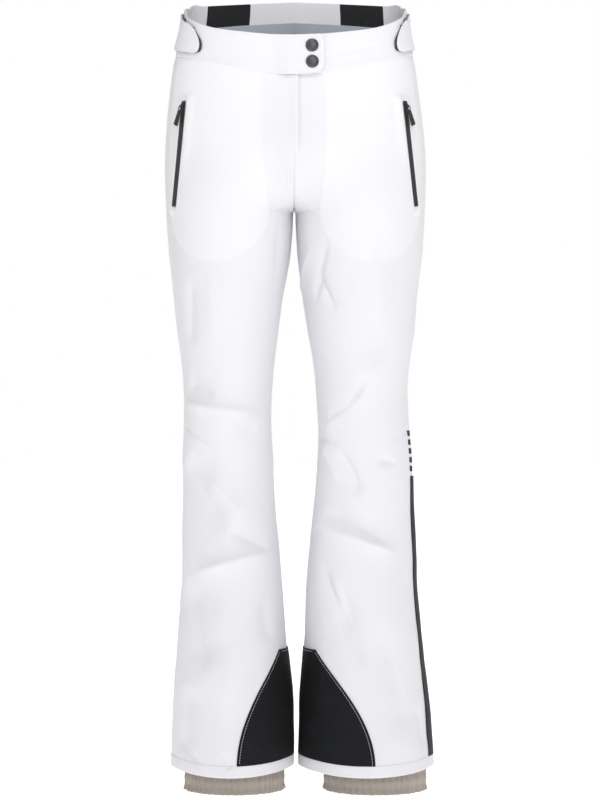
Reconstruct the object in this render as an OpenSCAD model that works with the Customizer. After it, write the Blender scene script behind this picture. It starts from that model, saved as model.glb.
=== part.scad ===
// Flared ski trousers in the shape that a wearer gives them: waistband with elastic back panels and
// side tabs, snapped and zipped fly, two zipped hip pockets, legs that bend at hip and knee, instep
// guards, one side stripe and a snow gaiter inside each hem.
// Millimetres. +Z is up, the front faces -Y, +X is the wearer's left, and the origin is the middle of
// the waist opening. Cloth lies on one surface, surf(side, u, s): u runs from the front seam or inseam
// (0) over the front (0.25), the side seam (0.5) and the back (0.75) to the back seam or inseam (1),
// and s is the drop below the waistband's top edge. Lift is the distance out from that surface.

/* [Waist] */
// How far the waistband's top edge rises and dips, as a share of the fitted shape
waist_slope = 1; // [0.85:0.05:1.1]
// Height of the waistband
band_h = 52; // [48:1:54]
// Height of the pale facing inside the back of the waistband
facing_h = 29; // [26:1:34]

/* [Legs] */
// Drop of the crotch
crotch = 262; // [258:1:266]
// Drop of the knee's bending axis
knee = 573; // [565:1:581]
// Drop of the hem
hem = 1024; // [1018:1:1028]
// Length of gaiter cuff that shows below the hem
cuff_show = 26; // [20:1:30]
// Height of the turned hem
hem_h = 14; // [12:1:18]

/* [Cloth] */
// Thickness of the shell cloth with its lining
cloth_t = 2.5; // [2:0.25:2.75]
// Space left between neighbouring panels
seam_gap = 0.4; // [0.3:0.1:0.6]

/* [Trimmings] */
// Diameter of a snap cap
snap_d = 17.5; // [16:0.5:19]
// Distance between the two snaps
snap_pitch = 22.5; // [21:0.5:24]
// Length of a hip pocket zip
pocket_l = 142; // [136:1:144]
// Width of a pocket zip's coated tape
pocket_tape_w = 8; // [7:0.5:10]
// Length of the fly zip
fly_l = 90; // [84:1:92]
// Length of a zip pull
pull_l = 27; // [22:1:30]

/* [Hidden] */

RIGHT = -1;
LEFT = 1;

// The outline, as [inner x, outer x, front y, back y] at drops of -40, 70, 180 ... below the origin.
FIRST_DROP = -40;
DROP_STEP = 110;
RIGHT_OUTLINE = [
    [2, 152, -92, 100], [2, 167, -98, 108], [2, 177, -103, 122], [2.5, 174, -102, 104],
    [18, 162, -94, 84], [30, 149, -80, 66], [29, 153, -70, 74], [19, 154, -68, 88],
    [10, 161, -74, 98], [2, 168, -84, 104], [3, 168, -92, 108]
];
LEFT_OUTLINE = [
    [2, 156, -92, 100], [2, 167, -98, 108], [2, 180, -103, 122], [2.5, 177, -102, 104],
    [14, 166, -94, 84], [30, 155, -80, 66], [30, 161, -70, 74], [19, 166, -68, 88],
    [14, 175, -74, 98], [8, 186, -84, 104], [6, 192, -92, 108]
];
// Heights of the waistband's top edge and of its lower seam, from the centre front to the centre back.
WAIST_TOP = [-31, -30, -26, -18, -2, 16, 26, 32, 36, 38, 39];
WAIST_SEAM = [-81, -80, -72, -60, -51, -43, -32, -22, -16, -13, -12];
HIP_SQUARE = 2.4;     // 2 is an ellipse, and more is squarer
HIP_SPREAD = 0.75;    // 0 spaces the seams of the hips evenly by width, and 1 crowds them at the sides
FORK_H = 96;          // height over which the crotch curve runs up into the centre seams
WAIST_FADE = 190;     // height below the waistband over which its slope dies away
HEM_LIFT = 8;         // drop of the hem at the side seam and the inseam
HEM_CURVE_H = 120;    // height over which that drop comes in
FORK_SHARP = 8;       // keeps the rounding of the crotch close to the centre seams
LEG_APART = 1.2;      // least distance of a leg from the plane between the legs

// Grid of the cloth, and the steps that its surface normal is measured over.
U_STEP = 1 / 32;
HIP_STEP = 22;
LEG_STEP = 60;
U_NUDGE = 0.004;
S_NUDGE = 2;
SEAM_U = seam_gap / 500;

// Where the panels of a leg meet, as drops.
THIGH = 400;
KNEE_TOP = knee - 73;
KNEE_END = knee + 77;

// Layers of the fly and the waist, as lifts.
TAB_LIFT = 5.6;
TAB_T = 2.2;
TAB_SPAN = [-0.05, 0.137];
FLAP_LIFT = 5.4;
FLAP_T = 1.8;
FLAP_SPAN = [-0.149, 0.031];
FLY_END = 170;        // drop at which the fly ends
FLY_RIGHT = 0.067;    // u at which each front panel stops beside the zip
FLY_LEFT = 0.012;
FLY_X = -6;           // the fly zip's distance from the middle
PATCH_LIFT = 0.6;
PATCH_T = 1;
OVERLAY_LIFT = 2.4;   // outer face of the guards and the stripe
OVERLAY_T = 1.2;
LAYER_GAP = 0.5;
CLEAR = 0.3;          // clearance between parts that slide or turn on each other

// Zip parts.
COIL_W = 4;
COIL_H = 1.6;
TAPE_T = 1;
SLIDER_L = 10;
SLIDER_W = 7;
SLIDER_H = 2.2;
CHEEK_T = 1.2;
BAR_R = 0.9;
BAR_CLEAR = 0.08;
BAR_AT = [4, SLIDER_H + 2.2];     // the bar's place along the slider and above its base
EYE_R = 1.9;
PULL_W = 6;
PULL_T = 1.8;
POCKET_TOP = [0.366, 114];    // u and drop of the upper end of a pocket zip
POCKET_END = [0.404, 262];
POCKET_LIFT = 2.5;            // height of the straight zip over the rounded hip
PULL_SPLAY = 17;              // angle at which a pocket pull hangs outwards
TAPE_END = 4;                 // length of tape past the end of the coil
COIL_GAP = 0.1;
SLIDER_AT = [3, 0, TAPE_T + 0.2];    // the closed slider's place on a pocket zip

// Snap parts.
STUD_R = 2;
SNAP_R = 6;
STAND_OFF = 0.3;
SNAP_U = 0.0985;
SNAP_S = 15;

// Gaiters, as [centre x, half width] at the top and at the cuff.
GAITER_TOP = 880;
GAITER_Y = 8;
GAITER_DEPTH = 78;
GAITER_T = 1.2;
CUFF_T = 3;
RIGHT_GAITER = [[86, 68], [82, 69]];
LEFT_GAITER = [[96, 68], [111, 71]];
CUFF_TOP = hem - 5.5;

// ---------------------------------------------------------------- the surface

function clamp01(v) = min(max(v, 0), 1);
function smooth(v) = let (t = clamp01(v)) t * t * (3 - 2 * t);
function unit(v) = v / norm(v);
function cubic(a, b, c, d, f) =
    0.5 * (2 * b + (c - a) * f + (2 * a - 5 * b + 4 * c - d) * f * f + (3 * b - a - 3 * c + d) * f * f * f);

function outline(side, drop) =
    let (
        table = side < 0 ? RIGHT_OUTLINE : LEFT_OUTLINE,
        last = len(table) - 1,
        p = (drop - FIRST_DROP) / DROP_STEP,
        i = min(max(floor(p), 0), last - 1),
        row = cubic(table[max(i - 1, 0)], table[i], table[i + 1], table[min(i + 2, last)], p - i)
    )
    [max(row[0], LEG_APART), row[1], row[2], row[3]];

// Reads a profile of heights, given from the centre front to the centre back.
function profile(list, u) =
    let (
        v = u < 0 ? -u : u > 1 ? 2 - u : u,
        last = len(list) - 1,
        i = min(floor(v * last), last - 1)
    )
    waist_slope
    * cubic(list[max(i - 1, 0)], list[i], list[i + 1], list[min(i + 2, last)], v * last - i);

// Inside the waistband the cloth is spread between its two edges. Below it, the seam's slope dies away.
function height(u, s) =
    let (top = profile(WAIST_TOP, u), seam = profile(WAIST_SEAM, u))
    s < band_h
    ? top + (seam - top) * s / band_h
    : (seam + band_h) * (1 - smooth((s - band_h) / WAIST_FADE)) - s
      + HEM_LIFT * pow(cos(360 * u), 2) * smooth((s - hem) / HEM_CURVE_H + 1);

function leg_point(o, u) = [
    (o[0] + o[1]) / 2 - (o[1] - o[0]) / 2 * cos(360 * u),
    (o[2] + o[3]) / 2 - (o[3] - o[2]) / 2 * sin(360 * u)
];

// Half of the hip section. Past either centre seam it goes on as its own mirror image.
function hip_point(o, u) =
    let (
        over = u < 0 || u > 1,
        v = u < 0 ? -u : u > 1 ? 2 - u : u,
        f = HIP_SPREAD * pow(sin(180 * v), 2) + (1 - HIP_SPREAD) * sin(180 * v),
        middle = (o[2] + o[3]) / 2,
        reach = (v < 0.5 ? o[2] : o[3]) - middle,
        k = pow(max(0, 1 - pow(f, HIP_SQUARE)), 1 / HIP_SQUARE)
    )
    [(over ? -1 : 1) * o[1] * f, middle + reach * k];

// 0 on a leg and 1 on the hips. On the centre seams it follows a quarter circle, which rounds the crotch.
function hip_share(u, s) =
    let (
        t = clamp01((crotch - s) / FORK_H),
        edge = sqrt(1 - (1 - t) * (1 - t)),
        k = pow(cos(180 * u), FORK_SHARP)
    )
    smooth(t) + (edge - smooth(t)) * k;

// Past a centre seam of the hips, u runs on over the other side of the body.
function surf(side, u, s) =
    let (
        z = height(u, s),
        o = outline(s < crotch && (u < 0 || u > 1) ? -side : side, -z),
        m = hip_share(u, s),
        p = (1 - m) * leg_point(o, u) + m * hip_point(o, u)
    )
    [side * p[0], p[1], z];

function normal(side, u, s) =
    let (
        across = surf(side, u + U_NUDGE, s) - surf(side, u - U_NUDGE, s),
        down = surf(side, u, s + S_NUDGE) - surf(side, u, s - S_NUDGE)
    )
    side * unit(cross(down, across));

function lifted(side, u, s, lift) = surf(side, u, s) + lift * normal(side, u, s);

// Keeps a panel that ends at a centre seam on its own side of it.
function own_side(p, side, s, apart) =
    apart && s < crotch ? [side * max(side * p[0], seam_gap / 2), p[1], p[2]] : p;

// ---------------------------------------------------------------- cloth

// A closed sheet between two grids of points with the same numbers of rows and columns.
module sheet(outer, inner) {
    rows = len(outer);
    cols = len(outer[0]);
    n = rows * cols;
    function at(layer, r, c) = layer * n + r * cols + c;
    function quad(a, b, c, d) = [[a, b, c], [a, c, d]];
    faces = concat(
        [for (r = [0 : rows - 2], c = [0 : cols - 2], f =
            quad(at(0, r, c), at(0, r + 1, c), at(0, r + 1, c + 1), at(0, r, c + 1))) f],
        [for (r = [0 : rows - 2], c = [0 : cols - 2], f =
            quad(at(1, r, c), at(1, r, c + 1), at(1, r + 1, c + 1), at(1, r + 1, c))) f],
        [for (c = [0 : cols - 2], f =
            quad(at(0, 0, c), at(0, 0, c + 1), at(1, 0, c + 1), at(1, 0, c))) f],
        [for (c = [0 : cols - 2], f =
            quad(at(0, rows - 1, c), at(1, rows - 1, c), at(1, rows - 1, c + 1), at(0, rows - 1, c + 1))) f],
        [for (r = [0 : rows - 2], f =
            quad(at(0, r, 0), at(1, r, 0), at(1, r + 1, 0), at(0, r + 1, 0))) f],
        [for (r = [0 : rows - 2], f =
            quad(at(0, r, cols - 1), at(0, r + 1, cols - 1), at(1, r + 1, cols - 1), at(1, r, cols - 1))) f]
    );
    polyhedron([for (row = outer) each row, for (row = inner) each row], faces);
}

// A tube whose rings close on themselves, between an outer and an inner grid.
module tube(outer, inner) {
    rows = len(outer);
    cols = len(outer[0]);
    n = rows * cols;
    function at(layer, r, c) = layer * n + r * cols + (c % cols);
    function quad(a, b, c, d) = [[a, b, c], [a, c, d]];
    faces = concat(
        [for (r = [0 : rows - 2], c = [0 : cols - 1], f =
            quad(at(0, r, c), at(0, r + 1, c), at(0, r + 1, c + 1), at(0, r, c + 1))) f],
        [for (r = [0 : rows - 2], c = [0 : cols - 1], f =
            quad(at(1, r, c), at(1, r, c + 1), at(1, r + 1, c + 1), at(1, r + 1, c))) f],
        [for (c = [0 : cols - 1], f =
            quad(at(0, 0, c), at(0, 0, c + 1), at(1, 0, c + 1), at(1, 0, c))) f],
        [for (c = [0 : cols - 1], f =
            quad(at(0, rows - 1, c), at(1, rows - 1, c), at(1, rows - 1, c + 1), at(0, rows - 1, c + 1))) f]
    );
    polyhedron([for (row = outer) each row, for (row = inner) each row], faces);
}

// Mirrors the winding of a left-hand panel for the wearer's right.
module on_side(side) {
    if (side < 0) mirror([1, 0, 0]) children();
    else children();
}
function flip(p, side) = side < 0 ? [-p[0], p[1], p[2]] : p;

// Columns keep to one shared grid, so that neighbouring layers bend at the same places.
function columns(u0, u1) = concat(
    [u0], [for (k = [ceil(u0 / U_STEP + 0.3) : floor(u1 / U_STEP - 0.3)]) k * U_STEP], [u1]);

// A panel from u0 to u1 and s0 to s1, with its outer face at lift. edge(s), from 0 to 1, narrows it
// towards the u in about.
module panel(side, u0, u1, s0, s1, lift = 0, t = cloth_t, apart = true, step = HIP_STEP,
             about = 0, edge = function (s) 1) {
    rows = max(1, round((s1 - s0) / step));
    function grid(h) = [for (j = [0 : rows])
        let (s = s0 + (s1 - s0) * j / rows)
        [for (c = columns(u0, u1))
            let (u = about + (c - about) * edge(s))
            flip(own_side(lifted(side, u, s, h), side, s, apart), side)]];
    on_side(side) sheet(grid(lift), grid(lift - t));
}

// A closed ring of leg cloth from s0 to s1.
module leg_ring(side, s0, s1, lift = 0, t = cloth_t) {
    cols = round(1 / U_STEP);
    rows = max(1, round((s1 - s0) / LEG_STEP));
    function grid(h) = [for (j = [0 : rows])
        let (s = s0 + (s1 - s0) * j / rows)
        [for (i = [0 : cols - 1]) flip(lifted(side, i / cols, s, h), side)]];
    on_side(side) tube(grid(lift), grid(lift - t));
}

// ---------------------------------------------------------------- hip panels and waistband

module hip_front(side) {
    fly_u = side < 0 ? FLY_RIGHT : FLY_LEFT;
    color("white") {
        panel(side, fly_u, 0.5 - SEAM_U, band_h + seam_gap, FLY_END);
        panel(side, SEAM_U, 0.5 - SEAM_U, FLY_END + seam_gap, crotch - seam_gap);
    }
}

module hip_back(side) {
    color("white")
        panel(side, 0.5 + SEAM_U, 1 - SEAM_U, band_h + seam_gap, crotch - seam_gap);
}

ELASTIC_U = 0.66;     // u where an elastic panel starts, and where it meets the back of the band
BACK_U = 0.798;
LINING_END = 158;
LINING_GAP = 1.2;

module waistband(side) {
    color("white") panel(side, SEAM_U, ELASTIC_U, 0, band_h);
}

module elastic_panel(side) {
    color("#232629") panel(side, ELASTIC_U + SEAM_U, BACK_U - SEAM_U, 0, band_h);
}

module back_waistband() {
    color("white") panel(LEFT, BACK_U, 2 - BACK_U, 0, band_h, apart = false);
}

module seat_lining() {
    color("#aab0ba")
        panel(LEFT, ELASTIC_U, 2 - ELASTIC_U, facing_h, LINING_END,
              lift = -cloth_t - LINING_GAP, t = TAPE_T, apart = false);
}

// ---------------------------------------------------------------- side tabs

TAB_FREE = 0.35;      // u of a side tab's free end
TAB_ROOT = 0.56;      // u of the end that is sewn down
TAB_TOP = 4;
TAB_END = 46;
LOOP_MARGIN = 6;      // how far the loop patch stays inside the tab's edges
HOOK_MARGIN = 2;      // how far the hook strip shows past them
LOOP_U = 0.05;
HOOK_U = 0.012;

module loop_patch(side) {
    color("#1c1e20")
        panel(side, TAB_FREE - LOOP_U, TAB_ROOT, TAB_TOP + LOOP_MARGIN, TAB_END - LOOP_MARGIN,
              lift = PATCH_LIFT + PATCH_T, t = PATCH_T);
}

module hook_patch(side) {
    color("#1c1e20")
        panel(side, TAB_FREE - HOOK_U, TAB_ROOT - HOOK_U, TAB_TOP - HOOK_MARGIN, TAB_END + HOOK_MARGIN,
              lift = 2 * (PATCH_LIFT + PATCH_T), t = PATCH_T);
}

module adjuster_tab(side) {
    color("white")
        panel(side, TAB_FREE, TAB_ROOT, TAB_TOP, TAB_END,
              lift = 2 * (PATCH_LIFT + PATCH_T) + LAYER_GAP + TAB_T, t = TAB_T);
}

// ---------------------------------------------------------------- waist tab and snaps

module waist_tab() {
    color("white")
        panel(LEFT, TAB_SPAN[0], TAB_SPAN[1], LAYER_GAP, band_h - LAYER_GAP,
              lift = TAB_LIFT, t = TAB_T, apart = false);
}

// Puts children on the surface, with z outwards and x downwards along the cloth.
module stand_on(side, u, s, lift) {
    out = normal(side, u, s);
    down = unit(surf(side, u, s + S_NUDGE) - surf(side, u, s - S_NUDGE));
    across = cross(out, down);
    at = lifted(side, u, s, lift);
    multmatrix([
        [down[0], across[0], out[0], at[0]],
        [down[1], across[1], out[1], at[1]],
        [down[2], across[2], out[2], at[2]],
        [0, 0, 0, 1]
    ]) children();
}

module at_snaps(lift) {
    for (s = [SNAP_S, SNAP_S + snap_pitch]) stand_on(LEFT, SNAP_U, s, lift) children();
}

module snap_caps() {
    cap_h = 2.2;
    edge_r = 1.2;
    color("#3a3c3e") at_snaps(TAB_LIFT + STAND_OFF)
        rotate_extrude($fn = 48) {
            square([snap_d / 2 - edge_r, cap_h]);
            square([snap_d / 2, cap_h - edge_r]);
            translate([snap_d / 2 - edge_r, cap_h - edge_r]) circle(r = edge_r, $fn = 24);
        }
}

module snap_sockets() {
    socket_h = 1.5;
    color("#2c2e30") at_snaps(TAB_LIFT - TAB_T - STAND_OFF - socket_h)
        difference() {
            cylinder(r = SNAP_R, h = socket_h, $fn = 40);
            translate([0, 0, -1]) cylinder(r = STUD_R + CLEAR, h = socket_h + 2, $fn = 32);
        }
}

module snap_studs() {
    flange_h = 0.6;
    stud_h = 2.4;
    color("#2c2e30") at_snaps(STAND_OFF) {
        cylinder(r = SNAP_R, h = flange_h, $fn = 40);
        cylinder(r = STUD_R, h = stud_h, $fn = 32);
    }
}

// ---------------------------------------------------------------- zips

// Puts children on the straight line from a to b, with x along it, z outwards, and the origin at a.
module along(a, b, out_hint) {
    x = unit(b - a);
    y = unit(cross(out_hint, x));
    z = cross(x, y);
    multmatrix([
        [x[0], y[0], z[0], a[0]],
        [x[1], y[1], z[1], a[1]],
        [x[2], y[2], z[2], a[2]],
        [0, 0, 0, 1]
    ]) children();
}

module bar_of(l, w, h) {
    translate([0, -w / 2, 0]) cube([l, w, h]);
}

// A saddle over the coil, with two cheeks that carry the bar of the pull.
module slider_body() {
    nose_l = 1;
    tail_l = 2;
    groove_h = COIL_H + CLEAR - TAPE_T;
    cheek_l = 4;
    difference() {
        union() {
            hull() {
                translate([0, -SLIDER_W / 2 + 1, 0]) cube([nose_l, SLIDER_W - 2, SLIDER_H]);
                translate([SLIDER_L - tail_l, -SLIDER_W / 2, 0]) cube([tail_l, SLIDER_W, SLIDER_H]);
            }
            for (y = [-SLIDER_W / 2, SLIDER_W / 2 - CHEEK_T])
                translate([BAR_AT[0] - cheek_l / 2, y, 0])
                    cube([cheek_l, CHEEK_T, BAR_AT[1] + BAR_R + CLEAR]);
        }
        translate([-1, -COIL_W / 2 - CLEAR, -1]) cube([SLIDER_L + 2, COIL_W + 2 * CLEAR, groove_h + 1]);
    }
    translate([BAR_AT[0], SLIDER_W / 2 - CHEEK_T / 2, BAR_AT[1]])
        rotate([90, 0, 0]) cylinder(r = BAR_R, h = SLIDER_W - CHEEK_T, $fn = 28);
}

// The eye turns on the slider's bar. The tongue hangs beside the coil.
module pull_body(splay) {
    eye_w = SLIDER_W - 2 * (CHEEK_T + CLEAR);
    neck_l = 8;
    neck_t = 1.6;
    end_l = 2;
    end_w = PULL_W + 1.2;
    translate([BAR_AT[0], 0, BAR_AT[1]]) {
        difference() {
            union() {
                rotate([90, 0, 0]) cylinder(r = EYE_R, h = eye_w, center = true, $fn = 32);
                translate([0, -eye_w / 2, 0]) cube([neck_l, eye_w, neck_t]);
            }
            rotate([90, 0, 0]) cylinder(r = BAR_R + BAR_CLEAR, h = eye_w + 2, center = true, $fn = 32);
        }
        translate([neck_l - 1, 0, 0]) rotate([0, 0, splay]) hull() {
            translate([0, -eye_w / 2, 0]) cube([1, eye_w, PULL_T]);
            translate([pull_l - neck_l - end_l + 1, -end_w / 2, 0]) cube([end_l, end_w, PULL_T]);
        }
    }
}

function pocket_end(side, which) = lifted(side, which[0], which[1], POCKET_LIFT);

module on_pocket(side) {
    a = pocket_end(side, POCKET_TOP);
    b = pocket_end(side, POCKET_END);
    along(a, b, normal(side, (POCKET_TOP[0] + POCKET_END[0]) / 2, (POCKET_TOP[1] + POCKET_END[1]) / 2))
        children();
}

module pocket_tape(side) {
    slot_w = COIL_W + 2 * COIL_GAP;
    color("#26282a") on_pocket(side)
        difference() {
            bar_of(pocket_l, pocket_tape_w, TAPE_T);
            translate([TAPE_END, -slot_w / 2, -1]) cube([pocket_l - 2 * TAPE_END, slot_w, TAPE_T + 2]);
        }
}

// A core with raised stretches that stand for the turns of the coil.
module coil(length) {
    tooth = 2;
    gap = 0.6;
    core_w = COIL_W - 1.6;
    tooth_h = COIL_H - 0.2;
    union() {
        bar_of(length, core_w, COIL_H);
        for (x = [0 : 3 * tooth : length - tooth])
            translate([x + gap, 0, 0]) bar_of(tooth, COIL_W, tooth_h);
    }
}

module pocket_coil(side) {
    start = TAPE_END + LAYER_GAP;
    color("#1a1b1d") on_pocket(side) translate([start, 0, 0]) coil(pocket_l - 2 * start);
}

module pocket_slider(side) {
    color("#1e2022") on_pocket(side) translate(SLIDER_AT) slider_body();
}

module pocket_pull(side) {
    color("#1e2022") on_pocket(side) translate(SLIDER_AT) pull_body(-side * PULL_SPLAY);
}

module pocket_bag(side) {
    span = [0.13, 0.42];
    top = band_h + 4;
    low = 334;
    round_h = 60;
    gap = 2.4;
    rounded = function (s) sqrt(max(0.12, 1 - pow(clamp01((s - low + round_h) / round_h), 2)));
    color("#f4f4f6")
        panel(side, span[0], span[1], top, low, lift = -cloth_t - gap, t = PATCH_T,
              about = (span[0] + span[1]) / 2, edge = rounded);
}

FLY_TOP = 56;             // drop at which the fly zip starts
FLY_ZIP_LIFT = -cloth_t;
FLY_TAPE_AT = -2.4;       // depth of the zip tape below the zip's line
FLY_SLIDER_AT = [2, 0, -1.2];
SHIELD_SPAN = [-0.12, 0.11];

module on_fly() {
    a = lifted(LEFT, 0, FLY_TOP, FLY_ZIP_LIFT);
    b = lifted(LEFT, 0, FLY_TOP + fly_l, FLY_ZIP_LIFT);
    along([FLY_X, a[1], a[2]], [FLY_X, b[1], b[2]], [0, -1, 0]) children();
}

module fly_zip_tapes() {
    tape_w = 11;
    color("#e8e8ea") for (side = [-1, 1])
        on_fly() translate([0, side * (COIL_W / 2 + 2 * COIL_GAP + tape_w / 2), FLY_TAPE_AT])
            bar_of(fly_l, tape_w, TAPE_T);
}

module fly_zip_coil() {
    margin = 2;
    color("#d8d8dc") on_fly() translate([margin, 0, FLY_TAPE_AT]) coil(fly_l - 2 * margin);
}

module fly_slider() {
    color("#9a9da0") on_fly() translate(FLY_SLIDER_AT) slider_body();
}

module fly_pull() {
    color("#9a9da0") on_fly() translate(FLY_SLIDER_AT) pull_body(0);
}

module fly_shield() {
    behind = 4.5;
    color("white")
        panel(LEFT, SHIELD_SPAN[0], SHIELD_SPAN[1], band_h + 2, FLY_END + 8,
              lift = -cloth_t - behind, t = OVERLAY_T, apart = false);
}

module fly_flap() {
    color("white")
        panel(LEFT, FLAP_SPAN[0], FLAP_SPAN[1], band_h + 2, FLY_END - 1,
              lift = FLAP_LIFT, t = FLAP_T, apart = false);
}

// ---------------------------------------------------------------- legs

module thigh_top(side) {
    color("white") leg_ring(side, crotch + seam_gap, THIGH - seam_gap);
}

module leg_half(side, front, s0, s1) {
    color("white")
        panel(side, (front ? 0 : 0.5) + SEAM_U, (front ? 0.5 : 1) - SEAM_U, s0 + seam_gap, s1 - seam_gap,
              step = LEG_STEP);
}

module knee_ring(side) {
    color("white") leg_ring(side, KNEE_TOP + seam_gap, KNEE_END - seam_gap);
}

module hem_ring(side) {
    color("white") leg_ring(side, hem - hem_h + seam_gap, hem);
}

GUARD_TOP = 857;
GUARD_U = 0.235;      // half the width of an instep guard at the hem
GUARD_WAIST = 0.38;   // its width at the top as a share of that
STRIPE_SPAN = [0.45, 0.508];

module instep_guard(side) {
    low = hem - hem_h - 1;
    bow = function (s)
        let (t = (s - GUARD_TOP) / (low + 1 - GUARD_TOP))
        GUARD_WAIST + (1 - GUARD_WAIST) * (1 - (1 - t) * (1 - t));
    color("#17191b")
        panel(side, -GUARD_U, GUARD_U, GUARD_TOP, low, lift = OVERLAY_LIFT, t = OVERLAY_T, edge = bow);
}

module side_stripe() {
    color("#17191b")
        panel(LEFT, STRIPE_SPAN[0], STRIPE_SPAN[1], KNEE_END + 2, hem - hem_h - 1,
              lift = OVERLAY_LIFT, t = OVERLAY_T, step = LEG_STEP);
}

// ---------------------------------------------------------------- gaiters

function gaiter_ring(side, z, inset) =
    let (
        g = side < 0 ? RIGHT_GAITER : LEFT_GAITER,
        t = smooth((-z - GAITER_TOP) / (hem - GAITER_TOP)),
        c = g[0][0] + (g[1][0] - g[0][0]) * t,
        a = g[0][1] + (g[1][1] - g[0][1]) * t - inset,
        cols = round(1 / U_STEP)
    )
    [for (i = [0 : cols - 1])
        [c - a * cos(360 * i / cols), GAITER_Y - (GAITER_DEPTH - inset) * sin(360 * i / cols), z]];

module gaiter(side) {
    top = -GAITER_TOP;
    end = -CUFF_TOP + LAYER_GAP;
    rows = 3;
    function grid(inset) = [for (j = [0 : rows]) gaiter_ring(side, top + (end - top) * j / rows, inset)];
    color("#a39a90") on_side(side) tube(grid(1), grid(1 + GAITER_T));
}

module gaiter_cuff(side) {
    top = -CUFF_TOP;
    end = -hem - cuff_show;
    color("#a39a90") on_side(side)
        tube([gaiter_ring(side, top, 0), gaiter_ring(side, end, 0)],
             [gaiter_ring(side, top, CUFF_T), gaiter_ring(side, end, CUFF_T)]);
}

// ---------------------------------------------------------------- nodes

hip_front(RIGHT);  // right_hip_front
hip_front(LEFT);  // left_hip_front
hip_back(RIGHT);  // right_hip_back
hip_back(LEFT);  // left_hip_back
waistband(RIGHT);  // right_waistband
waistband(LEFT);  // left_waistband
back_waistband();
elastic_panel(RIGHT);  // right_elastic_panel
elastic_panel(LEFT);  // left_elastic_panel
seat_lining();
loop_patch(RIGHT);  // right_loop_patch
loop_patch(LEFT);  // left_loop_patch
snap_studs();
fly_zip_tapes();
fly_zip_coil();
fly_shield();
pocket_tape(RIGHT);  // right_pocket_tape
pocket_tape(LEFT);  // left_pocket_tape
pocket_coil(RIGHT);  // right_pocket_coil
pocket_coil(LEFT);  // left_pocket_coil
pocket_bag(RIGHT);  // right_pocket_bag
pocket_bag(LEFT);  // left_pocket_bag
waist_tab();
snap_caps();
snap_sockets();
fly_flap();
fly_slider();
fly_pull();
pocket_slider(RIGHT);  // right_pocket_slider
pocket_slider(LEFT);  // left_pocket_slider
pocket_pull(RIGHT);  // right_pocket_pull
pocket_pull(LEFT);  // left_pocket_pull
adjuster_tab(RIGHT);  // right_adjuster_tab
adjuster_tab(LEFT);  // left_adjuster_tab
hook_patch(RIGHT);  // right_hook_patch
hook_patch(LEFT);  // left_hook_patch
thigh_top(RIGHT);  // right_thigh_top
thigh_top(LEFT);  // left_thigh_top
leg_half(RIGHT, true, THIGH, KNEE_TOP);  // right_thigh_front
leg_half(LEFT, true, THIGH, KNEE_TOP);  // left_thigh_front
leg_half(RIGHT, false, THIGH, KNEE_TOP);  // right_thigh_back
leg_half(LEFT, false, THIGH, KNEE_TOP);  // left_thigh_back
knee_ring(RIGHT);  // right_knee
knee_ring(LEFT);  // left_knee
leg_half(RIGHT, true, KNEE_END, hem - hem_h);  // right_calf_front
leg_half(LEFT, true, KNEE_END, hem - hem_h);  // left_calf_front
leg_half(RIGHT, false, KNEE_END, hem - hem_h);  // right_calf_back
leg_half(LEFT, false, KNEE_END, hem - hem_h);  // left_calf_back
hem_ring(RIGHT);  // right_hem
hem_ring(LEFT);  // left_hem
instep_guard(RIGHT);  // right_instep_guard
instep_guard(LEFT);  // left_instep_guard
side_stripe();
gaiter(RIGHT);  // right_gaiter
gaiter(LEFT);  // left_gaiter
gaiter_cuff(RIGHT);  // right_gaiter_cuff
gaiter_cuff(LEFT);  // left_gaiter_cuff
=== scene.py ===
"""White flared ski trousers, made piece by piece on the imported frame.

Millimetres are used for working out, and every piece is made in metres. Cloth lies on one fitted shape:
u runs round a leg from the inseam (0) over the front (0.25), the side seam (0.5) and the back (0.75) to the
inseam again (1). On the hips it runs from the centre front seam (0) to the centre back seam (1). s is the
drop below the waistband's top edge.
"""

import math

import bpy
import numpy as np
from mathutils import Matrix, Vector


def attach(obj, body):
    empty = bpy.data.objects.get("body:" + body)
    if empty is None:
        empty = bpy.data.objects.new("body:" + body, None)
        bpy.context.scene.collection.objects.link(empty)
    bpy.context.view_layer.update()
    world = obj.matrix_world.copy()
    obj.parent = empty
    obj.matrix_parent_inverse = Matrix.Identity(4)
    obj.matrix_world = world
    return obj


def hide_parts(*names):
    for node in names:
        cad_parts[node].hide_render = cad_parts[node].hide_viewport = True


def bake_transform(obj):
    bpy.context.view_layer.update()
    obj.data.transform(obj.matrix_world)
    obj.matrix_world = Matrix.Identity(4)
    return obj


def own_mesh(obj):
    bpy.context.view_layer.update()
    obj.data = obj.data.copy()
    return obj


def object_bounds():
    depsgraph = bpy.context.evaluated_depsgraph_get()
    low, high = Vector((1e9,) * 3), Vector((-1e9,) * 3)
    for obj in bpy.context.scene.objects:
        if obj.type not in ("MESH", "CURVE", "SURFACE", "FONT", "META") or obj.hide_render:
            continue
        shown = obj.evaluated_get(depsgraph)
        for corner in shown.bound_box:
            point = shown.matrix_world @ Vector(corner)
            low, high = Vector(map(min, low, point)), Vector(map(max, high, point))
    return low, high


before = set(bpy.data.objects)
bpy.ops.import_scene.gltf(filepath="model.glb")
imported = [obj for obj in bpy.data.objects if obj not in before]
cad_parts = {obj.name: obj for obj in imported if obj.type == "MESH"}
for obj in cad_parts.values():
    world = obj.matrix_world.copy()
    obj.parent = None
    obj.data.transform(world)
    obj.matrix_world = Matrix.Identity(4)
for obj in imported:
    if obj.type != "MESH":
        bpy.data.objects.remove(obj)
CAD_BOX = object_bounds()

MM = 0.001
RIGHT, LEFT = -1, 1
SIDES = {RIGHT: "right", LEFT: "left"}

# ------------------------------------------------------------------ the pattern's measures

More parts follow.
